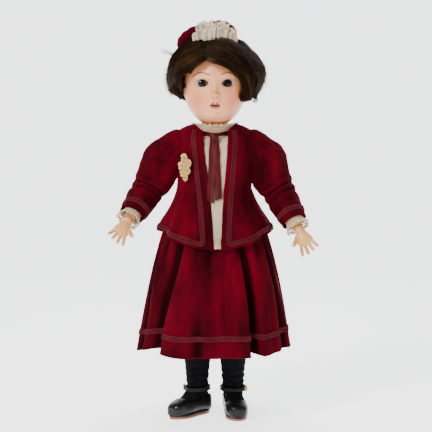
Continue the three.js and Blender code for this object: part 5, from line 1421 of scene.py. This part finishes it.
def blouse_surface(u, v):
    z, half_width, front = blouse_shape(v)
    x = mix(-1, 1, u) * mix(23, 4.6, ease(0.3, 1, v)) + 3.2 * v + 0.5 * np.sin(v * 14) * v
    tucks = 0.7 * np.abs(np.sin(u * 9 * math.pi)) + 1.1 * noise(45, u * 1.6, v * 9) + 0.6 * np.sin(v * 46 + u * 5)
    reach = np.where(z < SHOULDER_Z, np.minimum(front, front_depth(z) - BEHIND), front)
    y = -(reach + tucks) * np.sqrt(1 - (x / half_width) ** 2)
    return xyz(x, y, z)


def make_blouse():
    """The tucked front, with a narrow edging down the lower half of each side."""
    parts = [cloth("blouse_panel", blouse_surface, 60, 120, 0.6, BLOUSE, size=(0.046, 0.19))]
    for side in (-1, 1):
        def edging(u, v, side=side):
            outwards, v = u if side > 0 else 1 - u, 0.5 + 0.5 * v
            point = blouse_surface(np.full_like(u, 0.5 + side * 0.5), v)
            tucked_in = ease(0.84, 0.93, v)
            point[..., 0] += side * (outwards - 0.6) * 3.2 * (1 - 0.9 * tucked_in)
            point[..., 1] -= (0.5 + 0.6 * np.sin(v * 190) * outwards) * (1 - tucked_in)
            return point
        parts.append(cloth("blouse_edging", edging, 10, 200, 0.35, LACE_THREAD, size=(0.004, 0.1)))
    return joined("blouse_panel", parts)


def make_collar():
    """A standing lace frill, box-pleated into its neckband, with a shorter frill before it."""
    frills = []
    for cut, phase in ((0.0, 0.0), (0.34, 1.3)):
        def surface(u, v, cut=cut, phase=phase):
            angle = u * TURN
            up = (1 - v) * (1 - cut)
            z = mix(NECK_EDGE_Z - 5, NECK_Z - 0.4, up) + 2.4 * up * np.sin(angle) ** 2
            ripple = 1.25 * ease(0.15, 1, up) * (np.sin(26 * angle + phase) + 0.4 * np.sin(9 * angle + 2 * phase))
            radius = COLLAR_FOOT + 0.5 + 5.6 * ease(0.35, 1, up) ** 1.5 + ripple + 1.4 * (cut > 0)
            z = z + 0.5 * np.sin(26 * angle + phase + 1) * up
            return around(angle, z, radius, radius - 2.5 * up, radius)
        holes = lace_holes(200, 14, 1.9, 7, upside_down=True)
        frills.append(cloth("frill", surface, 400, 22, 0.4, LACE_THREAD, wraps=True, holes=holes, size=(0.2, 0.014)))
    return joined("collar_frill", frills)


def make_ribbon():
    """Satin ribbon round the neck, tied once in front, with two long tails."""
    inner = COLLAR_FOOT + GAP + 0.9
    band_z = NECK_EDGE_Z - 2.5

    def band(u, v):
        angle = u * TURN
        radius = inner + 1.1 + 0.3 * np.sin(v * 3 * math.pi) + 0.25 * np.sin(7 * angle)
        drop = 3.2 * bell(signed_angle(angle), 0, 0.5)
        front = radius + 7.5 * bell(np.sin(angle / 2), 0, 0.28)
        return around(angle, band_z + mix(2.8, -2.8, v) - drop, radius, front, radius)
    parts = [cloth("neckband", band, 160, 10, 0.5, SATIN, wraps=True, size=(0.19, 0.006))]
    knot_at = np.array([-1, -inner - 12.6, band_z - 6])
    rings = []
    a = -round_angles(48)
    for theta in np.linspace(0.08, math.pi - 0.08, 30):
        size = math.sin(theta) * (1 + 0.07 * np.sin(a * 5 + theta * 2) * math.sin(theta))
        rings.append(knot_at + xyz(6.0 * size * np.cos(a), 3.5 * size * np.sin(a),
                                   5.2 * math.cos(theta) + 0.5 * np.cos(a * 3)))
    parts.append(make_outward(stack("knot", rings, SATIN, size=(0.02, 0.01))))
    for start, end, lean in ((-4.4, -5.5, 0.8), (2.4, 4.4, -0.6)):
        def tail(u, v, start=start, end=end, lean=lean):
            z = knot_at[2] + 2 - v * (92 + 5 * lean * u)
            pleat = np.sin(u * math.pi * 2 + lean * 2) * mix(1.0, 0.35, ease(0, 0.5, v))
            x = mix(start, end, v) + (u - 0.5) * 10 * mix(0.5, 1, ease(0, 0.3, v)) + lean * np.sin(v * 5)
            rest = np.maximum(40.5, front_depth(z) + 0.4) + 1.6 * bell(v, 0, 0.1)
            return xyz(x, -(rest + pleat + 0.6 * np.sin(v * 9 + lean)), z)
        parts.append(cloth("tail", tail, 16, 100, 0.45, SATIN, size=(0.01, 0.092)))
    return joined("satin_ribbon", parts)


# Sleeves
SLEEVE_TOP, SLEEVE_BRAID = -25.0, SLEEVE_END - 12
sleeve_shape = through([
    [SLEEVE_TOP, 3, 0], [-21, 12, 0], [-9, 20.5, 0], [2, 22.5, 2.5], [16, 24.5, 8.6], [34, 25.5, 9], [54, 24, 4],
    [UPPER_ARM, 22.5, 1], [UPPER_ARM + 30, 20.5, 0], [SLEEVE_END, 17, 0]])


def sleeve_line(bend, reach):
    """Where the sleeve's middle is, and how far it has turned, after a reach along the arm."""
    step = 0.5
    places = np.arange(0, SLEEVE_END + 1.01, step)
    turned = math.radians(bend) * ease(UPPER_ARM - 16, UPPER_ARM + 16, places)
    y, z = (-np.concatenate([[0], np.cumsum(wave(turned[:-1]) * step)]) for wave in (np.sin, np.cos))
    return tuple(np.where(reach > 0, np.interp(reach, places, values), before)
                 for values, before in ((y, 0), (z, -reach), (turned, 0)))


def sleeve_surface_of(word):
    facts = SIDES[word]
    side, bend = facts["side"], facts["bend"]
    place = shoulder_frame(word)

    def surface(u, v):
        reach = mix(SLEEVE_TOP, SLEEVE_END, v)
        radius, shift = sleeve_shape(reach)
        angle = u * TURN
        head = bell(reach, 4, 14)
        gathers = 1 + 0.03 * np.sin(angle * 4 + side) * bell(reach, 30, 34) + 0.028 * np.sin(angle * 17) * head
        inner = 0.5 - 0.5 * np.cos(angle + math.pi)
        crush = 0.12 * inner * np.sin((reach - UPPER_ARM) * 0.42 + np.sin(angle * 2)) * bell(reach, UPPER_ARM + 2, 17)
        loose = 0.055 * noise(51 + side, np.sin(angle) * 1.7, np.cos(angle) * 1.7, reach / 21) * ease(0, 20, reach)
        loose += 0.022 * np.sin(reach * 0.17 + angle * 2 * side + 1) * ease(12, 45, reach)
        size = radius * (gathers + crush * 0.8 + loose) + 0.6
        y, z, turned = sleeve_line(bend, reach)
        inwards = np.maximum(0, -side * np.sin(angle))
        x_flat = size * np.sin(angle) + side * (shift - 11 * inwards ** 1.5 * bell(reach, 34, 30))
        y_flat = -size * np.cos(angle)
        return placed(xyz(x_flat, y_flat * np.cos(turned) + y, -y_flat * np.sin(turned) + z), place)
    return surface


def make_sleeve(word):
    surface = sleeve_surface_of(word)
    body = cloth("sleeve_body", surface, 112, 124, CLOTH * 0.85, VELVET, wraps=True, size=(0.15, 0.14))
    # The sleeve's fold mask paints shade into its folds.
    give_mask(body, "painted_fold_shade_mask", painted_fold_shade(surface, 112, 124, 9, 0.75, wraps=True, rows=5))
    return joined(f"velvet_sleeve_{word}", [body, hem_roll("sleeve_hem", surface, 120, looped=True)])


def make_cuff(word):
    place = elbow_frame(word)

    def surface(u, v):
        angle = u * TURN
        ripple = 0.9 * np.sin(6 * angle) + 0.75 * np.sin(19 * angle)
        radius = mix(12.4, 17.2, v ** 1.6) + 0.4 + ripple * ease(0.15, 1, v)
        return placed(around(angle, -48.0 - 17 * v + 0.4 * np.sin(19 * angle), radius, radius, radius), place)
    return cloth(f"cuff_frill_{word}", surface, 330, 26, 0.4, LACE_THREAD, wraps=True,
                 holes=lace_holes(90, 17, 2.1, 7.2), size=(0.1, 0.017))


# Hands
WRIST_BALL = 6.9


def soften(piece, factor, times):
    """Smooths a piece a little and settles it."""
    relax = piece.modifiers.new("soften", "SMOOTH")
    relax.factor = factor
    relax.iterations = times
    return settled(piece)


def tube(points, radii):
    """Rings round a path, each with its own radius."""
    along = unit(np.gradient(points, axis=0))
    first = unit(np.cross(along, [1.0, 0.0, 0.0]))
    second = np.cross(along, first)
    a = -round_angles(16)[None, :, None]
    return points[:, None] + radii[:, None, None] * (np.cos(a) * second[:, None] + np.sin(a) * first[:, None])


def finger_path(base, direction, length, curl):
    """A bent finger: it curls about the axis across it, towards the palm."""
    direction = unit(np.array(direction))
    axis = unit(np.cross(direction, [0.0, -1.0, 0.0]))
    steps = 14
    at = [np.array(base)]
    for t in np.arange(steps) / (steps - 1):
        angle = curl * (0.15 + 0.425 * (ease(0.22, 0.45, t) + ease(0.6, 0.8, t)))
        at.append(at[-1] + (turn(axis, angle) @ direction) * length / steps)
    return np.array(at)


def finger(path, radius):
    """Rings along a finger's path: thicker at its two joints, with a rounded tip."""
    t = np.linspace(0, 1, len(path))
    size = radius * (1.04 - 0.16 * t + 0.05 * bell(t, 0.5, 0.08) + 0.05 * bell(t, 0.78, 0.07))
    tip = np.sqrt(np.clip(1 - ((t - 0.86) / 0.15).clip(0, 1) ** 2, 0.02, 1))
    return tube(path, size * tip)[::-1]


def palm_rings():
    profile = through([[0, 6.2, 5.4], [0.25, 8.6, 5.2], [0.7, 11.5, 4.8], [1, 10.5, 3.4]])
    a = -round_angles(48)
    rings = []
    for t in np.linspace(0, 1, 30):
        half, deep = profile(t)
        knuckle = 0.5 * math.exp(-((t - 0.86) / 0.1) ** 2) * np.cos(4 * np.arcsin(np.clip(np.cos(a), -1, 1)) + 2)
        closing = math.sqrt(max(1 - max((t - 0.86) / 0.16, 0) ** 2, 0.02))
        x = half * np.cos(a) * (0.35 + 0.65 * closing)
        rings.append(xyz(x, deep * np.sin(a) * closing * (1 + 0.06 * knuckle), -4.5 - 22 * t))
    return rings


def make_nail(path, place):
    """A small domed nail on the back of a finger's tip."""
    ahead = unit(path[-2] - path[-5])
    across = unit(np.array([1.0, 0, 0]) - ahead * ahead[0])
    out = np.cross(ahead, across)
    out *= np.sign(out[1]) or 1
    middle = path[-3] + out * 2.0
    a = round_angles(16)[:, None]
    disc = middle + 1.15 * np.cos(a) * across + 1.7 * np.sin(a) * ahead
    dome = np.stack([disc - out * 0.5, middle + (disc - middle) * 0.8 + out * 0.12])
    return make_outward(stack("nail", placed(dome, place), NAIL, size=(0.004, 0.002)))


def make_hand(word):
    """A moulded composition hand: wrist ball, palm, knuckles, four fingers and a thumb, with nails."""
    side = SIDES[word]["side"]
    a = -round_angles(24)
    ball = [WRIST_BALL * xyz(math.sin(p) * np.cos(a), math.sin(p) * np.sin(a), math.cos(p))
            for p in np.linspace(0.1, math.pi - 0.1, 18)]
    shapes = [palm_rings(), ball]
    fingers = []
    for place in (-1.5, -0.5, 0.5, 1.5):
        fingers.append(finger_path((side * place * 5.3, 0.3, -21.5), (side * place * 0.19, 0.02, -1),
                                   23 * (1 - 0.09 * abs(place + 0.4)), 36 + 5 * place))
        shapes.append(finger(fingers[-1], 2.75 - 0.12 * abs(place)))
    shapes.append(finger(finger_path((-side * 6.6, 0.3, -9.5), (-side * 0.75, -0.25, -0.8), 19.5, 24), 3.3))
    hand = joined("hand", [make_outward(stack("part", rings, COMPOSITION, size=(0.03, 0.03))) for rings in shapes])
    fuse = hand.modifiers.new("fuse", "REMESH")
    fuse.mode = "VOXEL"
    fuse.voxel_size = 0.00046
    soften(hand, 0.6, 7)
    hand.data.materials.clear()
    hand.data.materials.append(COMPOSITION)
    place = wrist_frame(word)
    move_points(hand, place)
    hand.data.polygons.foreach_set("use_smooth", [True] * len(hand.data.polygons))
    return joined(f"composition_hand_{word}", [hand, *(make_nail(path, place) for path in fingers)])


# Legs, stockings and shoes
FOOT_BOTTOM, ANKLE = -154, -142
TOE_Y, HEEL_Y = -53.04, 23.4
KNEE_TOP = 19.7
STRAP_Z, STRAP_BACK, STRAP_RADIUS = FOOT_BOTTOM + 35, 1.2, 17.5
leg_skin = through([[0, 12.8], [0.16, 15.1], [0.38, 16.5], [0.7, 13.9], [1, 12.5]])
foot_shape = through([[0, 6, 15], [0.1, 10.5, 27], [0.3, 11.5, 34], [0.46, 12, 29], [0.62, 13, 19],
                      [0.82, 12.6, 13.5], [0.94, 9, 10.5], [1, 4.5, 7]])


def leg_surface_of(word, layer):
    """The stockinged leg and foot, from the knee's underside to the toe."""
    place = knee_frame(word)

    def surface(u, v):
        angle = u * TURN
        z = mix(25.0, ANKLE, v)
        t = np.clip(z / ANKLE, 0, 1)
        radius = mix(leg_skin(t)[0] + layer, KNEE_TOP, ease(-26, 4, z))
        back = 2.2 * bell(t, 0.36, 0.22)
        slump = bell(z, FOOT_BOTTOM + 50, 17)
        sag = z * 0.62 + 2.6 * np.sin(angle + 0.6) + 1.6 * np.sin(2 * angle + 1.9) + 0.9 * np.sin(3 * angle + z * 0.1)
        crease = 0.7 * slump * (np.sin(sag) + 0.35 * np.sin(sag * 1.9 + 2))
        upper = 0.35 * np.sin(z * 0.3 + np.sin(angle * 2) * 1.6) * bell(z, -30, 40)
        rib = 0.16 * np.cos(angle * 46)
        radius = radius + crease + upper + rib + 0.55 * slump + 2.4 * bell(z, -62, 36)
        x, y = radius * np.sin(angle), -radius * np.cos(angle)
        y = np.where(np.cos(angle) < 0, y + back * -np.cos(angle), y) + 1.5 * t
        return placed(xyz(x, y, z), place)
    return surface

def foot_surface_of(word, layer, base=2.0):
    place = knee_frame(word)

    def surface(u, v):
        """u runs round each ring from the sole's middle, v from heel to toe."""
        t = 0.5 - 0.5 * np.cos(np.clip(v, 0, 1) * math.pi)
        half, high = foot_shape(t)
        end = np.sqrt(np.clip(1 - (1 - np.minimum(np.minimum(v, 1 - v) / 0.09, 1)) ** 2, 0.0004, 1))
        a = -math.pi / 2 - u * TURN
        c, s = np.cos(a), np.sin(a)
        x = swollen(c, 0.7) * (half + layer) * end
        lift = (high + 5.1 + layer * 0.8 - base) / 2
        z = (swollen(s, np.where(s < 0, 0.5, 0.8)) * end + 1) * lift
        y = mix(HEEL_Y - 3.1 + layer, TOE_Y + 2.0 - layer, t)
        return placed(xyz(x, y, FOOT_BOTTOM + base + z), place)
    return surface


def make_stocking(word):
    leg = cloth("stocking_leg", leg_surface_of(word, 1.2), 92, 140, 0.5, KNIT, wraps=True, size=(0.1, 0.17))
    foot = cloth("stocking_foot", foot_surface_of(word, 0.9), 48, 60, 0.5, KNIT, wraps=True, size=(0.08, 0.1))
    return joined(f"knit_stocking_{word}", [make_outward(leg), make_outward(foot)])


def shoe_throat(word):
    """True where the shoe's top is cut away for the instep."""
    rotation, at = knee_frame(word)
    surface = foot_surface_of(word, 3.0, 0.0)

    def cut(u, v):
        point = (surface(u, v) - at) @ rotation
        x, y, z = np.moveaxis(point, -1, 0)
        throat = (x / 11.2) ** 2 + ((y + 6) / 23) ** 2 < 1
        top = z > FOOT_BOTTOM + 24 - 5.0 * ease(2, -16, y)
        return (z >= ANKLE) & (throat | top) & (y > -32)
    return cut


def make_shoe(word):
    surface = foot_surface_of(word, 3.0, 0.0)
    upper = cloth("shoe_vamp", surface, 108, 116, 1.1, LEATHER, wraps=True, holes=shoe_throat(word), size=(0.08, 0.1))
    soften(make_outward(upper), 0.5, 3)
    place = knee_frame(word)
    radius, welt_z = 0.9, FOOT_BOTTOM + 1.2
    x, y, _ = sole_outline(0.6).T
    welt = threads("welt", [placed(xyz(x, y, welt_z), place)], radius, LEATHER, sides=8, looped=True)
    seam = placed(xyz(x * 0.985, y * 0.985, welt_z + radius), place)
    stitches = [seam[i:i + 3] for i in range(0, len(seam) - 3, 5)]
    marks = threads("welt_stitches", stitches, 0.28, THREAD_BROWN, sides=4)
    return joined(f"leather_shoe_{word}", [upper, welt, marks])


sole_half_width = through([[0, 11.5], [0.2, 13.2], [0.42, 12.2], [0.68, 15.6], [0.86, 15.8], [1, 13]])


def sole_outline(grow):
    """The outline of the sole seen from above, round at heel and toe and narrow at the waist."""
    t = round_angles(260)
    along = 0.5 - 0.5 * np.cos(t)
    x = swollen(np.sin(t), 0.72) * (sole_half_width(along)[0] + grow)
    y = mix(HEEL_Y, TOE_Y, along) + np.where(along < 0.5, grow, -grow) * np.abs(np.cos(t))
    return xyz(x, y, 0.0)


def make_sole(word):
    """The sole from the welt down, with a groove between its two layers."""
    place = knee_frame(word)
    levels = ((-0.3, -0.5), (-0.4, 0.35), (-1.0, 0.6), (-1.9, 0.65), (-2.1, 0.45), (-2.3, 0.65), (-3.2, 0.55),
              (-3.9, 0.1), (-4.0, -0.6))
    rings = [placed(sole_outline(grow)[::-1] + np.array([0, 0, FOOT_BOTTOM + z]), place) for z, grow in levels]
    return make_outward(stack(f"leather_sole_{word}", rings, SOLE, size=(0.17, 0.004)))


def make_strap(word):
    """The ankle strap: a folded band with stitching along both edges."""
    place = knee_frame(word)

    def surface(u, v, lift=0.0):
        angle = u * TURN
        size = STRAP_RADIUS + 1.3 + lift + 0.12 * np.sin(angle * 3)
        z = STRAP_Z + mix(2.6, -2.6, v) - 1.2 * np.cos(angle)
        return placed(xyz(size * np.sin(angle), STRAP_BACK - size * np.cos(angle), z), place)

    def tail(u, v):
        along = mix(0.135, 0.255, u) if word == "left" else 1 - mix(0.255, 0.135, u)
        return surface(along, mix(0.14, 0.86, v), 1.2 - 0.3 * u)
    band = cloth("strap_band", surface, 180, 12, 1.3, STRAP, wraps=True, size=(0.12, 0.007))
    edges = [surface(np.arange(200) / 200, v, 0.02) for v in (0.04, 0.96)]
    beads = threads("strap_edges", edges, 0.35, STRAP, sides=6, looped=True)
    seams = [surface(np.arange(600) / 600, v, 0.05) for v in (0.16, 0.84)]
    stitches = [seam[i:i + 5] for seam in seams for i in range(0, 595, 8)]
    sewn = threads("strap_stitches", stitches, 0.16, THREAD_BLACK, sides=4)
    flap = cloth("strap_end", tail, 30, 8, 0.9, STRAP, size=(0.02, 0.005))
    return joined(f"ankle_strap_{word}", [band, beads, sewn, flap])


def set_out(centre, angle):
    """Places on a small upright plane: across, up and off it, which faces an angle from the front."""
    out = np.array([math.sin(angle), -math.cos(angle), 0])
    beside = np.array([math.cos(angle), math.sin(angle), 0])

    def spot(x, z, lift):
        x, z, lift = (value[..., None] for value in np.broadcast_arrays(x, z, lift))
        return centre + x * beside + z * np.array([0, 0, 1.0]) + lift * out
    return spot


def make_buckle(word):
    """A stamped frame with rounded corners, its middle bar and prong."""
    side = SIDES[word]["side"]
    radius = STRAP_RADIUS + 1.4
    spot = set_out(np.array([0, STRAP_BACK, STRAP_Z]), math.radians(62) * side)

    def on_strap(x, z, lift):
        return spot(x, z, radius + 1.5 - x ** 2 / (2 * (radius + 2)) + lift)
    a = round_angles(96)
    outline = on_strap(3.7 * swollen(np.cos(a), 0.5), 3.9 * swollen(np.sin(a), 0.5), 0.0)
    prong_path = on_strap(np.linspace(0, 3.9 * side, 12), 0.0, 0.5 + 0.3 * np.sin(np.linspace(0, 3, 12)))
    piece = joined(f"brass_buckle_{word}", [
        threads("buckle_frame", [outline], 0.75, BRASS, sides=12, looped=True),
        threads("buckle_bar", [on_strap(0.0, np.linspace(-3.8, 3.8, 9), -0.3)], 0.5, BRASS, sides=10),
        threads("buckle_prong", [prong_path], 0.42, BRASS, sides=10)])
    move_points(piece, knee_frame(word))
    return piece


# Brooch: each flower's place across and up its card, and its size
PETALS = 5
FLOWERS = ((-1, 13, 6.8), (6, 5.5, 6.6), (-6.2, 2, 6.8), (4.6, -5, 6.2), (-3.4, -8.5, 5.8), (1.4, -15.5, 4.6))


def make_brooch():
    """A spray of pressed cloth flowers with wire stems on a small card, sewn to the jacket's breast."""
    z, half, front, _ = (float(a) for a in jacket_shape(0.44))
    angle = math.radians(-47)
    x, y = half * math.sin(angle), -front * math.cos(angle)
    facing = math.atan2(x / half ** 2, -y / front ** 2)
    out = np.array([math.sin(facing), -math.cos(facing), 0])
    spot = set_out(np.array([x, y, z]) + out * (1.6 + GAP + 0.7), facing)
    a = round_angles(40)
    rings = [spot(s * 5.4 * np.cos(a), s * 13 * np.sin(a), h)
             for s, h in ((0.9, 0.75), (1, 0.4), (1, -0.5), (0.9, -0.8))]
    parts = [make_outward(stack("brooch_card", rings, CARD, size=(0.02, 0.002)))]
    draw = np.random.default_rng(7)
    for index, (px, pz, size) in enumerate(FLOWERS):
        for k in range(PETALS):
            start = k / PETALS * TURN + index * 0.7
            tilt = draw.uniform(-0.12, 0.12)

            def petal(u, v, start=start, px=px, pz=pz, size=size, tilt=tilt, k=k):
                r = mix(0.12, 1, v) * size
                spread = mix(-1, 1, u) * (0.2 + 0.48 * np.sin(np.clip(v, 0, 1) * 2.5)) * 0.84
                theta = start + spread / np.maximum(mix(0.35, 1.1, v), 0.3)
                cup = 0.9 + 2.3 * v ** 1.5 + 0.8 * np.cos(spread * 3) * v + 0.35 * np.sin(v * 9 + k) + tilt * 4
                return spot(px + r * np.cos(theta), pz + r * np.sin(theta), cup)
            parts.append(cloth("petal", petal, 12, 12, 0.32, PETAL, size=(0.006, 0.006)))
        dots = []
        for _ in range(9):
            q, w = draw.uniform(0, TURN), draw.uniform(0.1, 0.24) * size
            base = spot(px + w * math.cos(q), pz + w * math.sin(q), 1.2)
            dots.append(np.array([base, base + out * draw.uniform(0.8, 1.5)]))
        parts.append(threads("stamens", dots, 0.34, GILT, sides=6))
    t = np.linspace(0, 1, 16)
    stems = [spot(px * (1 - t) + bend * np.sin(t * math.pi), mix(pz, -18.5, t), 0.9 + 0.3 * np.sin(t * 3))
             for px, pz, bend in ((-1, 9, 1.4), (5, 0, -1.5), (-5.4, -3, 1.2), (1.4, -9, -0.8))]
    parts.append(threads("stems", stems, 0.4, GILT, sides=6))
    return joined("breast_flowers", parts)


# Putting the doll together
# How far, in millimetres, the start and end handed to bend_with lie from a joint
LAP_REACH, ELBOW_REACH, KNEE_REACH, HIP_REACH = 115, 17.0, 15, 9


def dress(piece, body, slot, *nodes):
    """Sets a finished piece on its body in place of the plain solids it stands for."""
    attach(piece, body)
    if nodes:
        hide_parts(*nodes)
    return piece


def bend_with(piece, slot, first, second, start, end, *nodes):
    """Bakes a soft piece that crosses a joint where it was made and hides the solids it stands for."""
    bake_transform(piece)
    if nodes:
        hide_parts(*nodes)
    return piece


def over_lap(piece, slot, word, *nodes):
    """Passes cloth over a hip to bend_with, with a start by the hip and an end forward and down from it."""
    start = np.array([0, -20, HIP_Z - 4])
    end = start + LAP_REACH * np.array([0, -0.8, -0.6])
    return bend_with(piece, slot, "torso", f"thigh_{word}", start, end, *nodes)


def finish_solid(node, material):
    """Gives a solid whose own shape shows its real material."""
    for holder in bpy.context.scene.objects:
        if holder.get("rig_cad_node") == node or holder.name == node:
            for slot in holder.material_slots:
                slot.material = material
            if not holder.material_slots:
                holder.data.materials.append(material)
            return
    raise ValueError(f"no solid named {node}")


def dress_head():
    dress(make_head(), "head", "bisque", "bisque_head")
    for word in SIDES:
        dress(make_outward(make_eye(word)), "eyes", "glass", f"eye_{word}")
    for strokes in make_lashes():
        dress(strokes, "head", "bisque")
    dress(make_teeth(), "head", "enamel", "upper_teeth")
    dress(make_hair_base(), "head", "hair", "wig")
    for word in SWEEPS:
        dress(make_hair_locks(word), "head", "hair")
    dress(make_stray_hair(), "head", "hair")
    hat = dress(make_hat(), "head", "velvet", "hat_cap")
    lace = dress(make_hat_lace(), "head", "lace", "hat_lace")


def dress_body():
    for word in SIDES:
        jacket = over_lap(make_jacket(word), "velvet", word, "jacket")
        jacket_trim = make_gimp(f"jacket_braid_{word}", jacket_surface, *jacket_trim_path(word))
        over_lap(jacket_trim, "satin", word)
        skirt = over_lap(make_skirt(word), "velvet", word, "skirt")
        ring = np.linspace(*HALVES[word], 550)
        skirt_trim = make_gimp(f"skirt_braid_{word}", skirt_surface, ring, np.full(550, SKIRT_BRAID))
        over_lap(skirt_trim, "satin", word)
        petticoat = over_lap(make_petticoat(word), "linen", word, "petticoat")
    blouse = over_lap(make_blouse(), "linen", "right", "blouse_front")
    collar = dress(make_collar(), "torso", "lace", "lace_collar")
    ribbon = dress(make_ribbon(), "torso", "satin", "neck_ribbon")
    dress(make_brooch(), "torso", "petals", "brooch")


def dress_arm(word):
    elbow = elbow_frame(word)
    start = placed([0, 0, ELBOW_REACH], (shoulder_frame(word)[0], elbow[1]))
    end = placed([0, 0, -ELBOW_REACH], elbow)
    sleeve = bend_with(make_sleeve(word), "velvet", f"upper_arm_{word}", f"forearm_{word}",
                       start, end, f"sleeve_{word}")
    ring = np.linspace(0, 1, 300, endpoint=False)
    row = (SLEEVE_BRAID - SLEEVE_TOP) / (SLEEVE_END - SLEEVE_TOP)
    trim = make_gimp(f"sleeve_braid_{word}", sleeve_surface_of(word), ring, np.full(300, row), looped=True)
    dress(trim, f"forearm_{word}", "satin")
    cuff = dress(make_cuff(word), f"forearm_{word}", "lace", f"lace_cuff_{word}")
    dress(make_hand(word), f"hand_{word}", "composition", f"hand_{word}")


def dress_leg(word):
    _, knee = knee_frame(word)
    up = np.array([0, 0, 1.0])
    stocking = bend_with(make_stocking(word), "knit", f"thigh_{word}", f"shin_{word}",
                         knee + up * KNEE_REACH, knee - up * KNEE_REACH, f"stocking_{word}")
    dress(make_shoe(word), f"shin_{word}", "leather", f"shoe_upper_{word}")
    dress(make_sole(word), f"shin_{word}", "sole", f"shoe_sole_{word}")
    dress(make_strap(word), f"shin_{word}", "leather", f"shoe_strap_{word}")
    dress(make_buckle(word), f"shin_{word}", "brass", f"shoe_buckle_{word}")


def elastic_length(name, knots):
    """A round covered cord through knots."""
    path = through([[i, *knot] for i, knot in enumerate(knots)])
    line = np.stack(path(np.linspace(0, len(knots) - 1, 16 * len(knots))), -1)
    return threads(name, [line], CORD_RADIUS, ELASTIC, sides=12)


def string_doll():
    """The elastic: one length through the shoulders from arm to arm, and one down each leg from the neck's hook."""
    across = [(x, y, SHOULDER_Z) for x, y in (
        (-SHOULDER_X, 0), (-35, 0), (-14, 7), (14, 7), (35, 0), (SHOULDER_X, 0))]
    dress(elastic_length("arm_elastic_middle", across), "torso", "elastic", "arm_elastic")
    for word, facts in SIDES.items():
        side = facts["side"]
        shoulder = shoulder_frame(word)
        arm = [shoulder[1], placed([0, 0, -UPPER_ARM / 2], shoulder), placed([0, 0, CORD_END], elbow_frame(word))]
        dress(elastic_length(f"arm_elastic_{word}", arm), f"upper_arm_{word}", "elastic", "arm_elastic")
        _, knee = knee_frame(word)
        hip = np.array([side * HIP_X, 0, HIP_Z])
        leg = [knee + np.array([0, 0, CORD_END]), (hip + knee) / 2, hip, (side * (HIP_X - 6), 0, HIP_Z + 26),
               (side * 6, 3.4, HIP_Z + 90), (side * 2.4, 3.4, NECK_Z - 34)]
        bend_with(elastic_length(f"leg_cord_{word}", leg), "elastic", "torso", f"thigh_{word}",
                  hip + np.array([0, 0, HIP_REACH]), hip - np.array([0, 0, HIP_REACH]), f"leg_elastic_{word}")


def finish_inside():
    plain = {"torso": COMPOSITION, "neck_button": WOOD, "neck_hook": STEEL, "pate": CARD, "eye_rocker": STEEL,
             "eye_weight": LEAD}
    for word in SIDES:
        plain.update({f"shoulder_ball_{word}": WOOD, f"upper_arm_{word}": COMPOSITION,
                      f"forearm_{word}": COMPOSITION, f"thigh_{word}": COMPOSITION, f"shin_{word}": COMPOSITION,
                      f"elbow_hook_{word}": STEEL, f"knee_hook_{word}": STEEL})
    for node, material in plain.items():
        finish_solid(node, material)


# Studio
def make_floor():
    """A pale floor that curves up behind the doll."""
    curve = [(1600 + 1200 * math.sin(a), 1200 - 1200 * math.cos(a)) for a in np.linspace(0, math.pi / 2, 24)]
    profile = [(-3000, 0), *curve, (2800, 4000)]
    points = [(x, y, z) for y, z in profile for x in (-4000, 4000)]
    faces = [[i, i + 1, i + 3, i + 2] for i in range(0, len(points) - 2, 2)]
    new_piece("studio_floor", points, faces, FLOOR)


def aim(holder, at, towards):
    holder.location = at
    holder.rotation_euler = (Vector(towards) - Vector(at)).to_track_quat("-Z", "Y").to_euler()


def soft_light(name, at, size, power, colour=(1, 1, 1)):
    lamp = bpy.data.lights.new(name, "AREA")
    lamp.shape = "DISK"
    lamp.size = size
    lamp.energy = power
    lamp.color = colour
    aim(shown(name, lamp), at, (0, 0, 0.3))


def make_studio():
    make_floor()
    soft_light("key_light", (-1.3, -1.9, 1.9), 0.8, 108, (1, 0.98, 0.95))
    soft_light("fill_light", (1.9, -1.6, 1.0), 1.6, 12, (0.96, 0.98, 1))
    soft_light("top_light", (0.2, 0.5, 2.3), 1.4, 42)
    world = bpy.data.worlds.new("pale studio")
    world.use_nodes = True
    sky = world.node_tree.nodes["Background"]
    sky.inputs["Color"].default_value = (0.86, 0.88, 0.92, 1)
    sky.inputs["Strength"].default_value = 0.36
    bpy.context.scene.world = world


def make_camera():
    lens = bpy.data.cameras.new("camera")
    lens.lens = 115
    lens.sensor_width = 36
    lens.clip_end = 20
    holder = shown("camera", lens)
    aim(holder, (0.0, -2.0, 0.42), (0.0015, 0, 0.2905))
    bpy.context.scene.camera = holder


FLOOR = make_worn("pale studio paper", tone(232, 232, 234), tone(226, 226, 229), 3.0, 0.9, 0.0, 0.2,
                  Emission_Color=(0.94, 0.96, 1, 1), Emission_Strength=1.9)
make_camera()
make_studio()
dress_head()
dress_body()
for side_word in SIDES:
    dress_arm(side_word)
    dress_leg(side_word)
string_doll()
finish_inside()
